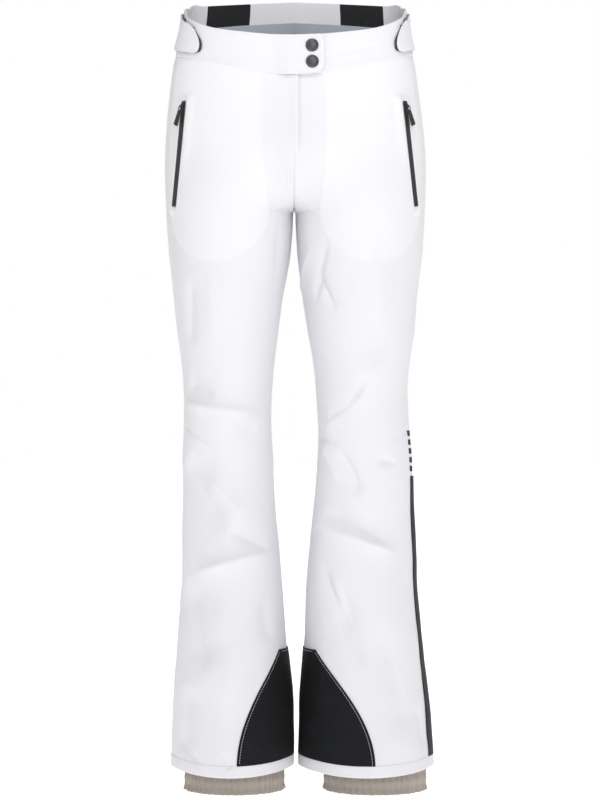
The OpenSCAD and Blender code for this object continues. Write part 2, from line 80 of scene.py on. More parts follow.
BAND = 52           # height of the waistband
CROTCH = 262
THIGH_CUT = 450     # where the upper and lower halves of a leg meet, on the same cloth
HEM = 1024
HEM_TURN = 14
CLOTH = 1.6         # thickness of shell and lining together
FORK_H = 96
WAIST_FADE = 190
HEM_DIP = 8
HEM_CURVE_H = 120
HIP_SQUARE = 2.4
HIP_SPREAD = 0.75
FORK_SHARP = 8
FORK_FRONT = 0.7    # how much squarer the fork is in front than behind
SEAM_CLOSE = 8      # height in which the legs come together at the crotch

# The outline of each leg, as inner x, outer x, front y and back y, at drops of -40, 70, 180 and so on.
FIRST_DROP, DROP_STEP = -40, 110
OUTLINES = {
    RIGHT: np.array([
        [2, 152, -92, 100], [2, 167, -98, 108], [2, 177, -103, 122], [2.5, 174, -102, 104],
        [18, 162, -94, 84], [30, 149, -80, 66], [29, 153, -70, 74], [19, 154, -68, 88],
        [10, 161, -74, 98], [2, 168, -84, 104], [3, 168, -92, 108]]),
    LEFT: np.array([
        [2, 156, -92, 100], [2, 167, -98, 108], [2, 180, -103, 122], [2.5, 177, -102, 104],
        [14, 166, -94, 84], [30, 155, -80, 66], [30, 161, -70, 74], [19, 166, -68, 88],
        [14, 175, -74, 98], [8, 186, -84, 104], [6, 192, -92, 108]]),
}
# Heights of the waistband's top edge and of its seam, from the centre front round to the centre back.
WAIST_TOP = np.array([-31, -30, -26, -18, -2, 16, 26, 32, 36, 38, 39.0])
WAIST_SEAM = np.array([-81, -80, -72, -60, -51, -43, -32, -22, -16, -13, -12.0])

ELASTIC_U = 0.66    # where an elastic panel starts, and where it meets the back of the band
BACK_U = 0.798
FACING = 29         # height of the band's pale facing at the back
LINING_END = 158

POCKET_TOP, POCKET_END = (0.366, 114), (0.404, 262)
POCKET_LIFT = 2.5
ZIP_L = 142
TAPE_W = 8
SNAP_U, SNAP_S, SNAP_PITCH = 0.0985, 15, 22.5
TAB_LIFT = 5.4


# ------------------------------------------------------------------ the fitted shape

def smooth(v):
    """Rises from 0 to 1, gently at both ends."""
    t = np.clip(v, 0, 1)
    return t * t * (3 - 2 * t)


def cubic(a, b, c, d, f):
    """A smooth curve from b to c at a share f of the way, with a before them and d after them."""
    bend = (2 * a - 5 * b + 4 * c - d) * f ** 2
    twist = (3 * b - a - 3 * c + d) * f ** 3
    return 0.5 * (2 * b + (c - a) * f + bend + twist)


def unit(v):
    return v / np.maximum(np.linalg.norm(v, axis=-1, keepdims=True), 1e-9)


def outline(side, drop):
    """Inner x, outer x, front y and back y of a leg at a drop."""
    table = OUTLINES[side]
    last = len(table) - 1
    p = (drop - FIRST_DROP) / DROP_STEP
    i = np.clip(np.floor(p).astype(int), 0, last - 1)
    row = cubic(table[np.maximum(i - 1, 0)], table[i], table[i + 1], table[np.minimum(i + 2, last)],
                (p - i)[..., None])
    row[..., 0] = np.maximum(row[..., 0], 1.2)
    return row


def mirrored(u):
    """u folded back at the centre front and centre back."""
    return np.where(u < 0, -u, np.where(u > 1, 2 - u, u))


def profile(heights, u):
    """Height round the waist, from a list that runs from front to back."""
    last = len(heights) - 1
    v = mirrored(u) * last
    i = np.minimum(np.floor(v).astype(int), last - 1)
    return cubic(heights[np.maximum(i - 1, 0)], heights[i], heights[i + 1],
                 heights[np.minimum(i + 2, last)], v - i)


def height(u, s):
    """z of the cloth: level rings on the legs that tilt to meet the waistband."""
    top, seam = profile(WAIST_TOP, u), profile(WAIST_SEAM, u)
    below = ((seam + BAND) * (1 - smooth((s - BAND) / WAIST_FADE)) - s
             + HEM_DIP * np.cos(2 * np.pi * u) ** 2 * smooth((s - HEM) / HEM_CURVE_H + 1))
    return np.where(s < BAND, top + (seam - top) * s / BAND, below)


def fitted(side, u, s):
    """Points of the fitted shape, with no folds in it."""
    u, s = np.broadcast_arrays(np.asarray(u, float), np.asarray(s, float))
    z = height(u, s)
    over = (u < 0) | (u > 1)
    swap = (over & (s < CROTCH))[..., None]
    inner, outer, front, back = np.moveaxis(np.where(swap, outline(-side, -z), outline(side, -z)), -1, 0)
    inner = inner * smooth((s - CROTCH + SEAM_CLOSE) / SEAM_CLOSE)
    middle = (front + back) / 2
    leg_x = (inner + outer) / 2 - (outer - inner) / 2 * np.cos(2 * np.pi * u)
    leg_y = middle - (back - front) / 2 * np.sin(2 * np.pi * u)
    v = mirrored(u)
    spread = HIP_SPREAD * np.sin(np.pi * v) ** 2 + (1 - HIP_SPREAD) * np.sin(np.pi * v)
    reach = np.where(v < 0.5, front, back) - middle
    hip_x = np.where(over, -1, 1) * outer * spread
    hip_y = middle + reach * np.maximum(0, 1 - spread ** HIP_SQUARE) ** (1 / HIP_SQUARE)
    t = np.clip((CROTCH - s) / FORK_H, 0, 1)
    square = 2 + FORK_FRONT * smooth((0.32 - v) / 0.3)
    edge = (1 - (1 - t) ** square) ** (1 / square)
    hips = smooth(t) + (edge - smooth(t)) * np.cos(np.pi * u) ** FORK_SHARP
    return np.stack([side * ((1 - hips) * leg_x + hips * hip_x), (1 - hips) * leg_y + hips * hip_y, z], -1)


def outward(side, u, s):
    """The direction that the fitted shape faces."""
    across = fitted(side, u + 0.004, s) - fitted(side, u - 0.004, s)
    down = fitted(side, u, s + 2.0) - fitted(side, u, s - 2.0)
    return side * unit(np.cross(down, across))


GIRTH_DROPS = np.arange(0.0, 1031, 10)


def ring_lengths(side):
    """Length of cloth round one leg or half the hips, at each of the girth drops."""
    u = np.linspace(0, 1, 129)
    ring = fitted(side, u[None, :], GIRTH_DROPS[:, None])
    return np.linalg.norm(np.diff(ring, axis=1), axis=-1).sum(1)


GIRTHS = {side: ring_lengths(side) for side in SIDES}


def girth(side, s):
    """Length of cloth from u 0 to u 1 at a drop."""
    return np.interp(s, GIRTH_DROPS, GIRTHS[side])


# ------------------------------------------------------------------ folds

# Each fold is its height, its half width, how far it leans, and the points (u, s) that it runs through.
# A ridge has a positive height. A lean towards 1 makes its left bank long and its right bank steep.
FOLDS = {
    RIGHT: [
        (-1.8, 9, 0.2, [(0.09, 115), (0.11, 250), (0.10, 370)]),
        (-1.5, 3.5, 0.2, [(0.028, 196), (0.034, 232), (0.040, 300)]),
        (-1.1, 3, 0.0, [(0.055, 190), (0.058, 250)]),
        (1.6, 15, 0.0, [(0.30, 345), (0.29, 450)]),
        (-2.2, 12, 0.3, [(0.36, 350), (0.38, 450)]),
        (-2.2, 10, 0.4, [(0.42, 496), (0.36, 503), (0.29, 515)]),
        (3.2, 9, -0.3, [(0.46, 518), (0.28, 529), (0.11, 537)]),
        (-2.0, 9, 0.0, [(0.24, 548), (0.12, 560)]),
        (-5.0, 24, 0.3, [(0.43, 590), (0.35, 640), (0.24, 698)]),
        (2.4, 13, 0.0, [(0.33, 618), (0.18, 680)]),
        (-3.2, 8, 0.2, [(0.26, 694), (0.18, 708), (0.10, 722)]),
        (3.8, 10, -0.2, [(0.38, 753), (0.23, 733), (0.05, 718)]),
        (-5.2, 26, 0.3, [(0.43, 760), (0.37, 822), (0.31, 890)]),
        (2.8, 20, 0.0, [(0.31, 780), (0.25, 850), (0.27, 960)]),
        (-1.8, 6, 0.0, [(0.43, 980), (0.32, 1012)]),
        (-1.4, 5, 0.0, [(0.27, 992), (0.25, 1016)]),
        (-2.0, 14, 0.0, [(0.14, 780), (0.13, 850)]),
        (-2.4, 20, 0.2, [(0.38, 900), (0.38, 1000)]),
    ],
    LEFT: [
        (-1.3, 4, 0.0, [(0.41, 64), (0.45, 90)]),
        (-1.2, 4, 0.2, [(0.37, 88), (0.43, 104)]),
        (-2.6, 7, 0.2, [(0.17, 296), (0.135, 343), (0.10, 392)]),
        (-2.2, 7, 0.0, [(0.12, 346), (0.18, 400)]),
        (1.8, 7, 0.0, [(0.12, 306), (0.05, 350), (0.01, 380)]),
        (-1.2, 3.5, 0.0, [(0.03, 205), (0.045, 262), (0.09, 330)]),
        (3.2, 11, 0.2, [(0.32, 445), (0.24, 515), (0.06, 570)]),
        (-3.0, 8, 0.0, [(0.30, 470), (0.20, 526), (0.11, 546)]),
        (2.2, 12, 0.0, [(0.06, 575), (0.18, 626)]),
        (-3.2, 7, 0.3, [(0.15, 577), (0.21, 612), (0.24, 650)]),
        (-1.6, 4, 0.0, [(0.28, 598), (0.37, 603)]),
        (-3.2, 8, -0.3, [(0.10, 668), (0.22, 684), (0.33, 712)]),
        (3.8, 10, 0.2, [(0.01, 676), (0.22, 702), (0.38, 730)]),
        (-3.2, 8, 0.2, [(0.12, 735), (0.18, 794), (0.22, 852)]),
        (2.2, 8, 0.0, [(0.15, 748), (0.20, 815)]),
        (-2.6, 8, 0.0, [(0.19, 760), (0.22, 822), (0.25, 880)]),
        (-2.6, 18, 0.2, [(0.31, 812), (0.34, 900), (0.35, 985)]),
        (-1.6, 8, 0.0, [(0.40, 930), (0.42, 1000)]),
        (1.6, 14, 0.0, [(0.28, 300), (0.31, 420)]),
    ],
}
# Folds of the back, which both legs have. Each leg's are moved a little along it.
BACK_FOLDS = [
    (2.2, 16, 0.0, [(0.95, 215), (0.80, 190), (0.62, 150)]),
    (-3.4, 10, 0.3, [(0.98, 292), (0.87, 325), (0.74, 338)]),
    (2.6, 10, 0.0, [(0.97, 318), (0.86, 348), (0.72, 366)]),
    (-2.8, 9, 0.2, [(0.98, 345), (0.90, 372), (0.80, 392)]),
    (-2.0, 12, 0.0, [(0.66, 300), (0.62, 400)]),
    (2.2, 10, 0.0, [(0.56, 500), (0.70, 520), (0.88, 512)]),
    (-3.8, 8, 0.3, [(0.58, 532), (0.74, 546), (0.92, 532)]),
    (3.0, 8, 0.0, [(0.60, 552), (0.76, 566), (0.92, 556)]),
    (-3.8, 8, -0.3, [(0.60, 576), (0.77, 590), (0.91, 580)]),
    (2.6, 9, 0.0, [(0.62, 598), (0.78, 612), (0.90, 606)]),
    (-2.8, 9, 0.2, [(0.60, 612), (0.76, 636), (0.90, 630)]),
    (-3.0, 13, 0.3, [(0.64, 700), (0.70, 780), (0.72, 860)]),
    (2.2, 12, 0.0, [(0.72, 720), (0.77, 840)]),
    (-2.8, 11, 0.0, [(0.90, 690), (0.83, 770), (0.82, 850)]),
    (-2.4, 10, 0.2, [(0.66, 930), (0.68, 1018)]),
    (-2.0, 10, 0.0, [(0.84, 920), (0.82, 1018)]),
]
BACK_SHIFT = {RIGHT: 0, LEFT: 12}


def near(side, u, s, line):
    """How far points are from a line on the cloth, less than 0 on its left, and how far along it."""
    g = girth(side, s)
    best = np.full(np.shape(u), 1e9)
    signed, along = best.copy(), np.zeros(np.shape(u))
    pieces = len(line) - 1
    for i, ((u0, s0), (u1, s1)) in enumerate(zip(line, line[1:])):
        du = u - u0
        du = np.where(s > CROTCH, (du + 0.5) % 1 - 0.5, du)
        px, py = du * g, s - s0
        qx, qy = (u1 - u0) * girth(side, (s0 + s1) / 2), s1 - s0
        t = np.clip((px * qx + py * qy) / (qx * qx + qy * qy), 0, 1)
        d = np.hypot(px - t * qx, py - t * qy)
        closer = d < best
        best = np.where(closer, d, best)
        signed = np.where(closer, np.where(px * qy - py * qx < 0, -d, d), signed)
        along = np.where(closer, (i + t) / pieces, along)
    return signed, along


def fold(side, u, s, tall, wide, lean, line):
    """How far one fold stands out, fading at both ends of its line."""
    d, along = near(side, u, s, line)
    bank = wide * np.where(d < 0, 1 + lean, 1 - lean)
    crest = np.exp(0.3 - np.sqrt((d / bank) ** 2 + 0.09))
    return tall * crest * smooth(along / 0.3) * smooth((1 - along) / 0.3)


WAVES = np.random.default_rng(11)


def wave_set(count, length):
    """Wave vectors of about one length, and their phases, for gentle unevenness."""
    way = unit(WAVES.normal(size=(count, 3)) * (1, 1, 0.55))
    lengths = length * WAVES.uniform(0.7, 1.5, (count, 1))
    return way * 2 * np.pi / lengths, WAVES.uniform(0, 2 * np.pi, count)


BROAD, FINE = wave_set(22, 110), wave_set(26, 34)


def unevenness(points, waves):
    """Gentle waves over the cloth, mostly between -1 and 1."""
    ways, phases = waves
    return np.sin(points @ ways.T + phases).sum(-1) / math.sqrt(len(phases))


def groove(distance, deep, wide):
    """The dip that a sewn seam makes."""
    return -deep * np.exp(-(distance / wide) ** 2)


# ------------------------------------------------------------------ the fly's and pockets' shapes

FLY_ROOT = -56      # x where the fly flap leaves the right front panel
FLY_EDGE = 5.5      # x of its free edge
FLY_LOW = 186
FLY_TURN = 136      # drop at which its lower edge starts to curve
FLY_CURVE = 47      # width of that curve
FRONT_CLOSES = 163  # drop below which the front panels meet at the centre seam


def fly_low(x):
    """Drop of the flap's lower edge, a quarter of an ellipse."""
    reach = np.clip((FLY_EDGE - x) / (FLY_EDGE + FLY_CURVE), 0, 1)
    return FLY_TURN + (FLY_LOW - FLY_TURN) * np.sqrt(1 - reach ** 2)


def under_fly(x, s):
    """1 where the right front is let in under the fly flap, and 0 a little inside its edge and beyond."""
    return smooth((x - FLY_ROOT - 3) / 5) * smooth((2 - x) / 6) * smooth((fly_low(x) - 4 - s) / 6)


def front_start(side, s):
    """u where a front panel starts: beside the fly zip, and at the centre seam below it."""
    beside = 0.062 if side == RIGHT else 0.012
    return beside * (1 - smooth((s - FRONT_CLOSES) / 10))


def zip_line(side):
    """Origin and axes of a pocket zip: along it, across it and outwards."""
    ends = [fitted(side, *end) + POCKET_LIFT * outward(side, *end) for end in (POCKET_TOP, POCKET_END)]
    middle = [(a + b) / 2 for a, b in zip(POCKET_TOP, POCKET_END)]
    x = unit(ends[1] - ends[0])
    y = unit(np.cross(outward(side, *middle), x))
    return ends[0], np.stack([x, y, np.cross(x, y)])


POCKETS = {side: zip_line(side) for side in SIDES}


def pocket_relief(side, points, base):
    """Brings the front panel level with its zip, and raises a welt along each edge of the tape."""
    origin, axes = POCKETS[side]
    x, y, z = np.moveaxis((points - origin) @ axes.T, -1, 0)
    ends = smooth((x + 14) / 12) * smooth((ZIP_L + 14 - x) / 12)
    off = np.abs(y) - TAPE_W / 2
    level = smooth((16 - off) / 14) * ends * (z > -30)
    lip = 0.7 * np.exp(-((off - 2.4) / 1.7) ** 2) * smooth((x + 5) / 4) * smooth((ZIP_L + 5 - x) / 4)
    sink = -1.2 * smooth((0.8 - off) / 1.6) * smooth((x + 3) / 3) * smooth((ZIP_L + 3 - x) / 3)
    return base * (1 - level) + (-z + 0.1) * level + (lip + sink) * (z > -30)


def bag_share(side, u, s):
    """1 where the pocket bag lies behind the front panel, and 0 elsewhere."""
    low, round_h, centre, half = 332, 70, 0.285, 0.15
    t = np.clip((s - low + round_h) / round_h, 0, 1)
    reach = half * np.sqrt(np.maximum(1e-6, 1 - t ** 2))
    rim = (reach - np.abs(u - centre)) * girth(side, s)
    return smooth(rim / 5) * smooth((low - s) / 5) * smooth((s - BAND) / 6)


FOLD_GAIN = 2.1     # how much taller the front's folds are made than they are listed


def drawn_in(u, s):
    """How far the side tabs draw the waist in at the sides."""
    return -7.0 * np.exp(-((np.abs(u) - 0.49) / 0.075) ** 2) * (1 - smooth(s / 85))


def shell_relief(side, u, s):
    """How far the shell stands off the fitted shape: folds, unevenness, seams, darts and pocket."""
    points = fitted(side, u, s)
    total = np.zeros(u.shape)
    for tall, wide, lean, line in FOLDS[side]:
        total += fold(side, u, s, FOLD_GAIN * tall, wide, lean, line)
    for tall, wide, lean, line in BACK_FOLDS:
        total += fold(side, u, s, tall, wide, lean, [(a, b + BACK_SHIFT[side]) for a, b in line])
    total += 1.0 * unevenness(points, BROAD) + 0.16 * unevenness(points, FINE)
    total *= smooth((s - BAND) / 60) * (0.35 + 0.65 * smooth((s - 230) / 120))
    total *= smooth(np.hypot(points[..., 0], s - CROTCH) / 70)
    total += 0.8 * bag_share(side, u, s)
    total = pocket_relief(side, points, total)
    across = girth(side, s)
    total += groove((u - 0.5) * across, 1.1, 2.4)
    centre_seam = np.where(u > 0.5, 1, smooth((s - 172) / 10))
    total += groove(np.minimum(np.abs(u), np.abs(u - 1)) * across, 0.7, 2.2) * centre_seam
    for line in DARTS[side]:
        d, along = near(side, u, s, line)
        total += groove(d, 1.3, 2.2) * smooth(along / 0.15) * smooth((1 - along) / 0.15)
    d, _ = near(side, u, s, YOKE)
    total += groove(d, 0.9, 2.0) * (u > 0.5)
    return total - 0.5 * smooth((BAND + 3 - s) / 3) + drawn_in(u, s)


def relief(side, u, s):
    """The shell's relief with the right front let in under the fly flap."""
    points = fitted(side, u, s)
    front = (s < CROTCH) & (points[..., 1] < 0)
    return shell_relief(side, u, s) - 2.8 * under_fly(points[..., 0], s) * front


DARTS = {
    RIGHT: [[(0.45, 552), (0.30, 580)], [(0.06, 571), (0.19, 571)], [(0.80, 60), (0.79, 118)]],
    LEFT: [[(0.01, 567), (0.17, 580)], [(0.33, 572), (0.46, 556)], [(0.80, 60), (0.79, 118)]],
}
YOKE = [(0.50, 96), (0.66, 108), (0.82, 128), (1.0, 148)]


def extended(grid):
    """A grid with one more row and column on every side, in line with its own."""
    grid = np.vstack([2 * grid[:1] - grid[1:2], grid, 2 * grid[-1:] - grid[-2:-1]])
    return np.hstack([2 * grid[:, :1] - grid[:, 1:2], grid, 2 * grid[:, -1:] - grid[:, -2:-1]])


def lay(side, u, s, lift):
    """Points, outward directions and cloth chart of a grid. lift(side, u, s) is how far out it lies."""
    wide_u, wide_s = extended(u), extended(s)
    raised = lift(side, wide_u, wide_s)
    way = outward(side, wide_u, wide_s)
    from_seam = np.minimum(np.abs(wide_u), np.abs(wide_u - 1)) * girth(side, wide_s)
    way[..., 0] *= np.where(wide_s < CROTCH, smooth(from_seam / 9), 1)
    p = fitted(side, wide_u, wide_s) + raised[..., None] * way
    down, across = p[2:, 1:-1] - p[:-2, 1:-1], p[1:-1, 2:] - p[1:-1, :-2]
    out = side * unit(np.cross(down, across))
    chart = np.stack([(u - u.mean()) * girth(side, s), s], -1) * MM
    return p[1:-1, 1:-1].copy(), out, chart


def grid_of(u0, u1, cols, s0, s1, rows):
    return np.meshgrid(np.linspace(u0, u1, cols), np.linspace(s0, s1, rows))


def flat_area(side, u, s):
    """Area of the cloth's cut, in square metres: the fitted shape with no folds."""
    p = fitted(side, u, s) * MM
    a, b = p[1:, :-1] - p[:-1, :-1], p[:-1, 1:] - p[:-1, :-1]
    return float(np.linalg.norm(np.cross(a, b), axis=-1).sum())


# ------------------------------------------------------------------ making meshes

ROLL_STEPS = 3


class Pile:
    """Quads with their corner normals, chart and finish, gathered until they become one piece."""

    def __init__(self):
        self.points, self.quads, self.normals, self.chart, self.finish, self.mark = [], [], [], [], [], []
        self.count = 0

    def add(self, points, quads, normals, chart=None, finish=0, mark=None):
        """points (n, 3), quads (m, 4), corner normals (m, 4, 3), chart (m, 4, 2)."""
        self.points.append(points)
        self.quads.append(quads + self.count)
        self.normals.append(normals)
        self.chart.append(np.zeros((len(quads), 4, 2)) if chart is None else chart)
        self.finish.append(np.full(len(quads), finish))
        self.mark.append(np.zeros(len(points)) if mark is None else mark)
        self.count += len(points)

    def sheet(self, outer, out, chart, thick=CLOTH, rolled="", finish=(0, 1), mark=None):
        """A closed sheet under a grid of points. rolled names the edges that are rounded: t, b, l, r."""
        rows, cols = outer.shape[:2]
        inner = outer - thick * out
        n = rows * cols
        grid = np.arange(n).reshape(rows, cols)
        face = np.stack([grid[:-1, :-1], grid[1:, :-1], grid[1:, 1:], grid[:-1, 1:]], -1).reshape(-1, 4)
        down, across = outer[1:, :-1] - outer[:-1, :-1], outer[:-1, 1:] - outer[:-1, :-1]
        flip = np.sum(np.cross(down, across) * out[:-1, :-1]) < 0
        turn = (lambda q: q[:, ::-1]) if flip else (lambda q: q)
        back = lambda q: turn(q)[:, ::-1]
        flat_out, flat_chart = out.reshape(-1, 3), chart.reshape(-1, 2)
        marks = np.zeros(n) if mark is None else mark.reshape(-1)
        self.add(outer.reshape(-1, 3), turn(face), flat_out[turn(face)], flat_chart[turn(face)],
                 finish[0], marks)
        outer_at = self.count - n
        self.add(inner.reshape(-1, 3), back(face), -flat_out[back(face)], flat_chart[back(face)],
                 finish[1], marks)
        inner_at = self.count - n
        edge = np.concatenate([grid[0, :-1], grid[:-1, -1], grid[-1, :0:-1], grid[:0:-1, 0]])
        away = np.zeros(outer.shape)
        soft = np.zeros((rows, cols, 1))
        for name, here, there in (("t", np.s_[0, :], np.s_[1, :]), ("b", np.s_[-1, :], np.s_[-2, :]),
                                  ("l", np.s_[:, 0], np.s_[:, 1]), ("r", np.s_[:, -1], np.s_[:, -2])):
            away[here] += unit(outer[here] - outer[there])
            soft[here] = np.maximum(soft[here], float(name in rolled))
        away, soft = unit(away).reshape(-1, 3)[edge], soft.reshape(-1, 1)[edge]
        facing = flat_out[edge]
        centre = outer.reshape(-1, 3)[edge] - facing * thick / 2
        angles = np.pi * np.arange(ROLL_STEPS + 2) / (ROLL_STEPS + 1)
        rings = [centre + thick / 2 * (facing * math.cos(t) + away * soft * math.sin(t))
                 for t in angles[1:-1]]
        shade = [unit(soft * (facing * math.cos(t) + away * math.sin(t)) + (1 - soft) * away)
                 for t in angles]
        m = len(edge)
        index = [edge + outer_at] + [self.count + k * m + np.arange(m) for k in range(ROLL_STEPS)]
        index.append(edge + inner_at)
        quads, normals, charts = [], [], []
        nxt = np.roll(np.arange(m), -1)
        step = np.array([[0, 0], [0, 0], [0, 1], [0, 1]]) * thick * MM / (ROLL_STEPS + 1)
        for k in range(ROLL_STEPS + 1):
            quads.append(np.stack([index[k], index[k][nxt], index[k + 1][nxt], index[k + 1]], -1))
            normals.append(np.stack([shade[k], shade[k][nxt], shade[k + 1][nxt], shade[k + 1]], 1))
            place = flat_chart[edge]
            charts.append(np.stack([place, place[nxt], place[nxt], place], 1) + step)
        quads, normals, charts = map(np.concatenate, (quads, normals, charts))
        if flip:
            quads, normals, charts = quads[:, ::-1], normals[:, ::-1], charts[:, ::-1]
        self.points.append(np.concatenate(rings))
        self.mark.append(np.tile(marks[edge], ROLL_STEPS))
        self.count += m * ROLL_STEPS
        self.quads.append(quads)
        self.normals.append(normals)
        self.chart.append(charts)
        self.finish.append(np.full(len(quads), finish[0]))
        return self

    def tube(self, rings):
        """Rings of points (k, sides, 3), each joined to the next, with both ends closed."""
        rings = np.asarray(rings, float)
        k, sides = rings.shape[:2]
        at = np.arange(k * sides).reshape(k, sides)
        nxt = np.roll(at, -1, axis=1)
        wall = np.stack([at[:-1], nxt[:-1], nxt[1:], at[1:]], -1).reshape(-1, 4)
        strips = range(sides // 2 - 1)
        caps = [[[ring[i], ring[i + 1], ring[sides - 2 - i], ring[sides - 1 - i]] for i in strips]
                for ring in (at[0][::-1], at[-1])]
        caps = np.concatenate(caps)
        points = rings.reshape(-1, 3)
        corner = points[np.concatenate([wall, caps])]
        volume = sum(np.sum(corner[:, 0] * np.cross(corner[:, i], corner[:, i + 1])) for i in (1, 2))
        around = np.roll(rings, -1, axis=1) - np.roll(rings, 1, axis=1)
        along = np.gradient(rings, axis=0)
        shade = unit(np.cross(around, along)).reshape(-1, 3)
        first, second, third = (points[caps[:, i]] for i in range(3))
        flat = unit(np.cross(second - first, third - first))
        normals = np.concatenate([shade[wall], np.repeat(flat[:, None], 4, axis=1)])
        quads = np.concatenate([wall, caps])
        if volume < 0:
            quads, normals = quads[:, ::-1], -normals[:, ::-1]
        self.add(points, quads, normals)
        return self

    def capsules(self, starts, ends, ups, radius, finish=2, flat=1.0):
        """Short rounded rods, such as stitches or the turns of a zip's coil."""
        n, sides = len(starts), 6
        if not n:
            return self
        way = unit(ends - starts)
        right = unit(np.cross(way, ups))
        top = np.cross(right, way)
        angle = 2 * np.pi * np.arange(sides) / sides
        circle = (np.cos(angle)[None, :, None] * right[:, None]
                  + flat * np.sin(angle)[None, :, None] * top[:, None])
        rings, shades = [], []
        for t, size, lean in ((0, 0.3, -0.9), (0.14, 1, -0.2), (0.86, 1, 0.2), (1, 0.3, 0.9)):
            rings.append((starts + (ends - starts) * t)[:, None] + circle * radius * size)
            shades.append(unit(circle + lean * way[:, None]))
        points = np.stack(rings, 1).reshape(-1, 3)
        shade = np.stack(shades, 1).reshape(-1, 3)
        at = np.arange(n * 4 * sides).reshape(n, 4, sides)
        nxt = np.roll(at, -1, axis=2)
        quads = [np.stack([at[:, k], nxt[:, k], nxt[:, k + 1], at[:, k + 1]], -1).reshape(-1, 4)
                 for k in range(3)]
        for end, corners in ((0, [3, 2, 1, 0]), (0, [5, 4, 3, 0]), (3, [0, 1, 2, 3]), (3, [0, 3, 4, 5])):
            quads.append(at[:, end][:, corners])
        quads = np.concatenate(quads)[:, ::-1]
        self.add(points, quads, shade[quads], finish=finish)
        return self

    def stitch(self, line, out, pitch=3.6, gap=1.1, radius=0.3, sink=0.05, finish=2):
        """A row of stitches along a line of points on cloth that faces out."""
        run = np.concatenate([[0], np.cumsum(np.linalg.norm(np.diff(line, axis=0), axis=1))])
        starts = np.arange(pitch / 2, run[-1] - pitch, pitch)
        at = lambda d, rows: np.stack([np.interp(d, run, rows[:, i]) for i in range(3)], -1)
        up = unit(at(starts, out))
        self.capsules(at(starts, line) - sink * up, at(starts + pitch - gap, line) - sink * up, up, radius,
                      finish, 0.7)
        return self

    def make(self, name, finishes):
        points, quads, finish = map(np.concatenate, (self.points, self.quads, self.finish))
        mesh = bpy.data.meshes.new(name)
        mesh.vertices.add(len(points))
        mesh.vertices.foreach_set("co", (points * MM).astype(np.float32).ravel())
        mesh.loops.add(quads.size)
        mesh.loops.foreach_set("vertex_index", quads.astype(np.int32).ravel())
        mesh.polygons.add(len(quads))
        mesh.polygons.foreach_set("loop_start", np.arange(0, quads.size, 4, dtype=np.int32))
        mesh.polygons.foreach_set("material_index", finish.astype(np.int32))
        for material in finishes:
            mesh.materials.append(material)
        chart = mesh.uv_layers.new(name="chart")
        chart.data.foreach_set("uv", np.concatenate(self.chart).astype(np.float32).ravel())
        mark = mesh.attributes.new("mark", "FLOAT", "POINT")
        mark.data.foreach_set("value", np.concatenate(self.mark).astype(np.float32))
        mesh.update(calc_edges=True)
        mesh.shade_smooth()
        mesh.normals_split_custom_set(np.concatenate(self.normals).reshape(-1, 3).tolist())
        piece = bpy.data.objects.new(name, mesh)
        bpy.context.scene.collection.objects.link(piece)
        return piece


def place(piece, body, slot, replaces=()):
    """Makes a piece ride on its body, or fixes it where it lies when it is given two bodies, and hides the
    parts that it replaces.
    """
    if isinstance(body, str):
        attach(piece, body)
    else:
        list(body)
        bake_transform(piece)
    if replaces:
        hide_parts(*replaces)
    return piece


def declare(area, length):
    """Rounds a piece's area over its length, and does nothing with the result."""
    round(area / length, 4)


# ------------------------------------------------------------------ finishes

class Num:
    """A number that varies over a surface. Working with it adds Math nodes."""

    def __init__(self, tree, socket):
        self.tree, self.socket = tree, socket

    def math(self, operation, *others):
        node = self.tree.nodes.new("ShaderNodeMath")
        node.operation = operation
        for socket, value in zip(node.inputs, (self, *others)):
            if isinstance(value, Num):
                self.tree.links.new(value.socket, socket)
            else:
                socket.default_value = value
        return Num(self.tree, node.outputs[0])

    def __add__(self, other): return self.math("ADD", other)
    def __radd__(self, other): return self.math("ADD", other)
    def __sub__(self, other): return self.math("SUBTRACT", other)
    def __rsub__(self, other): return (self * -1).math("ADD", other)
    def __mul__(self, other): return self.math("MULTIPLY", other)
    def __rmul__(self, other): return self.math("MULTIPLY", other)
    def __truediv__(self, other): return self.math("DIVIDE", other)
    def __neg__(self): return self.math("MULTIPLY", -1)
    def __pow__(self, other): return self.math("POWER", other)
    def __gt__(self, other): return self.math("GREATER_THAN", other)
    def sin(self): return self.math("SINE")
    def abs(self): return self.math("ABSOLUTE")
    def max(self, other): return self.math("MAXIMUM", other)


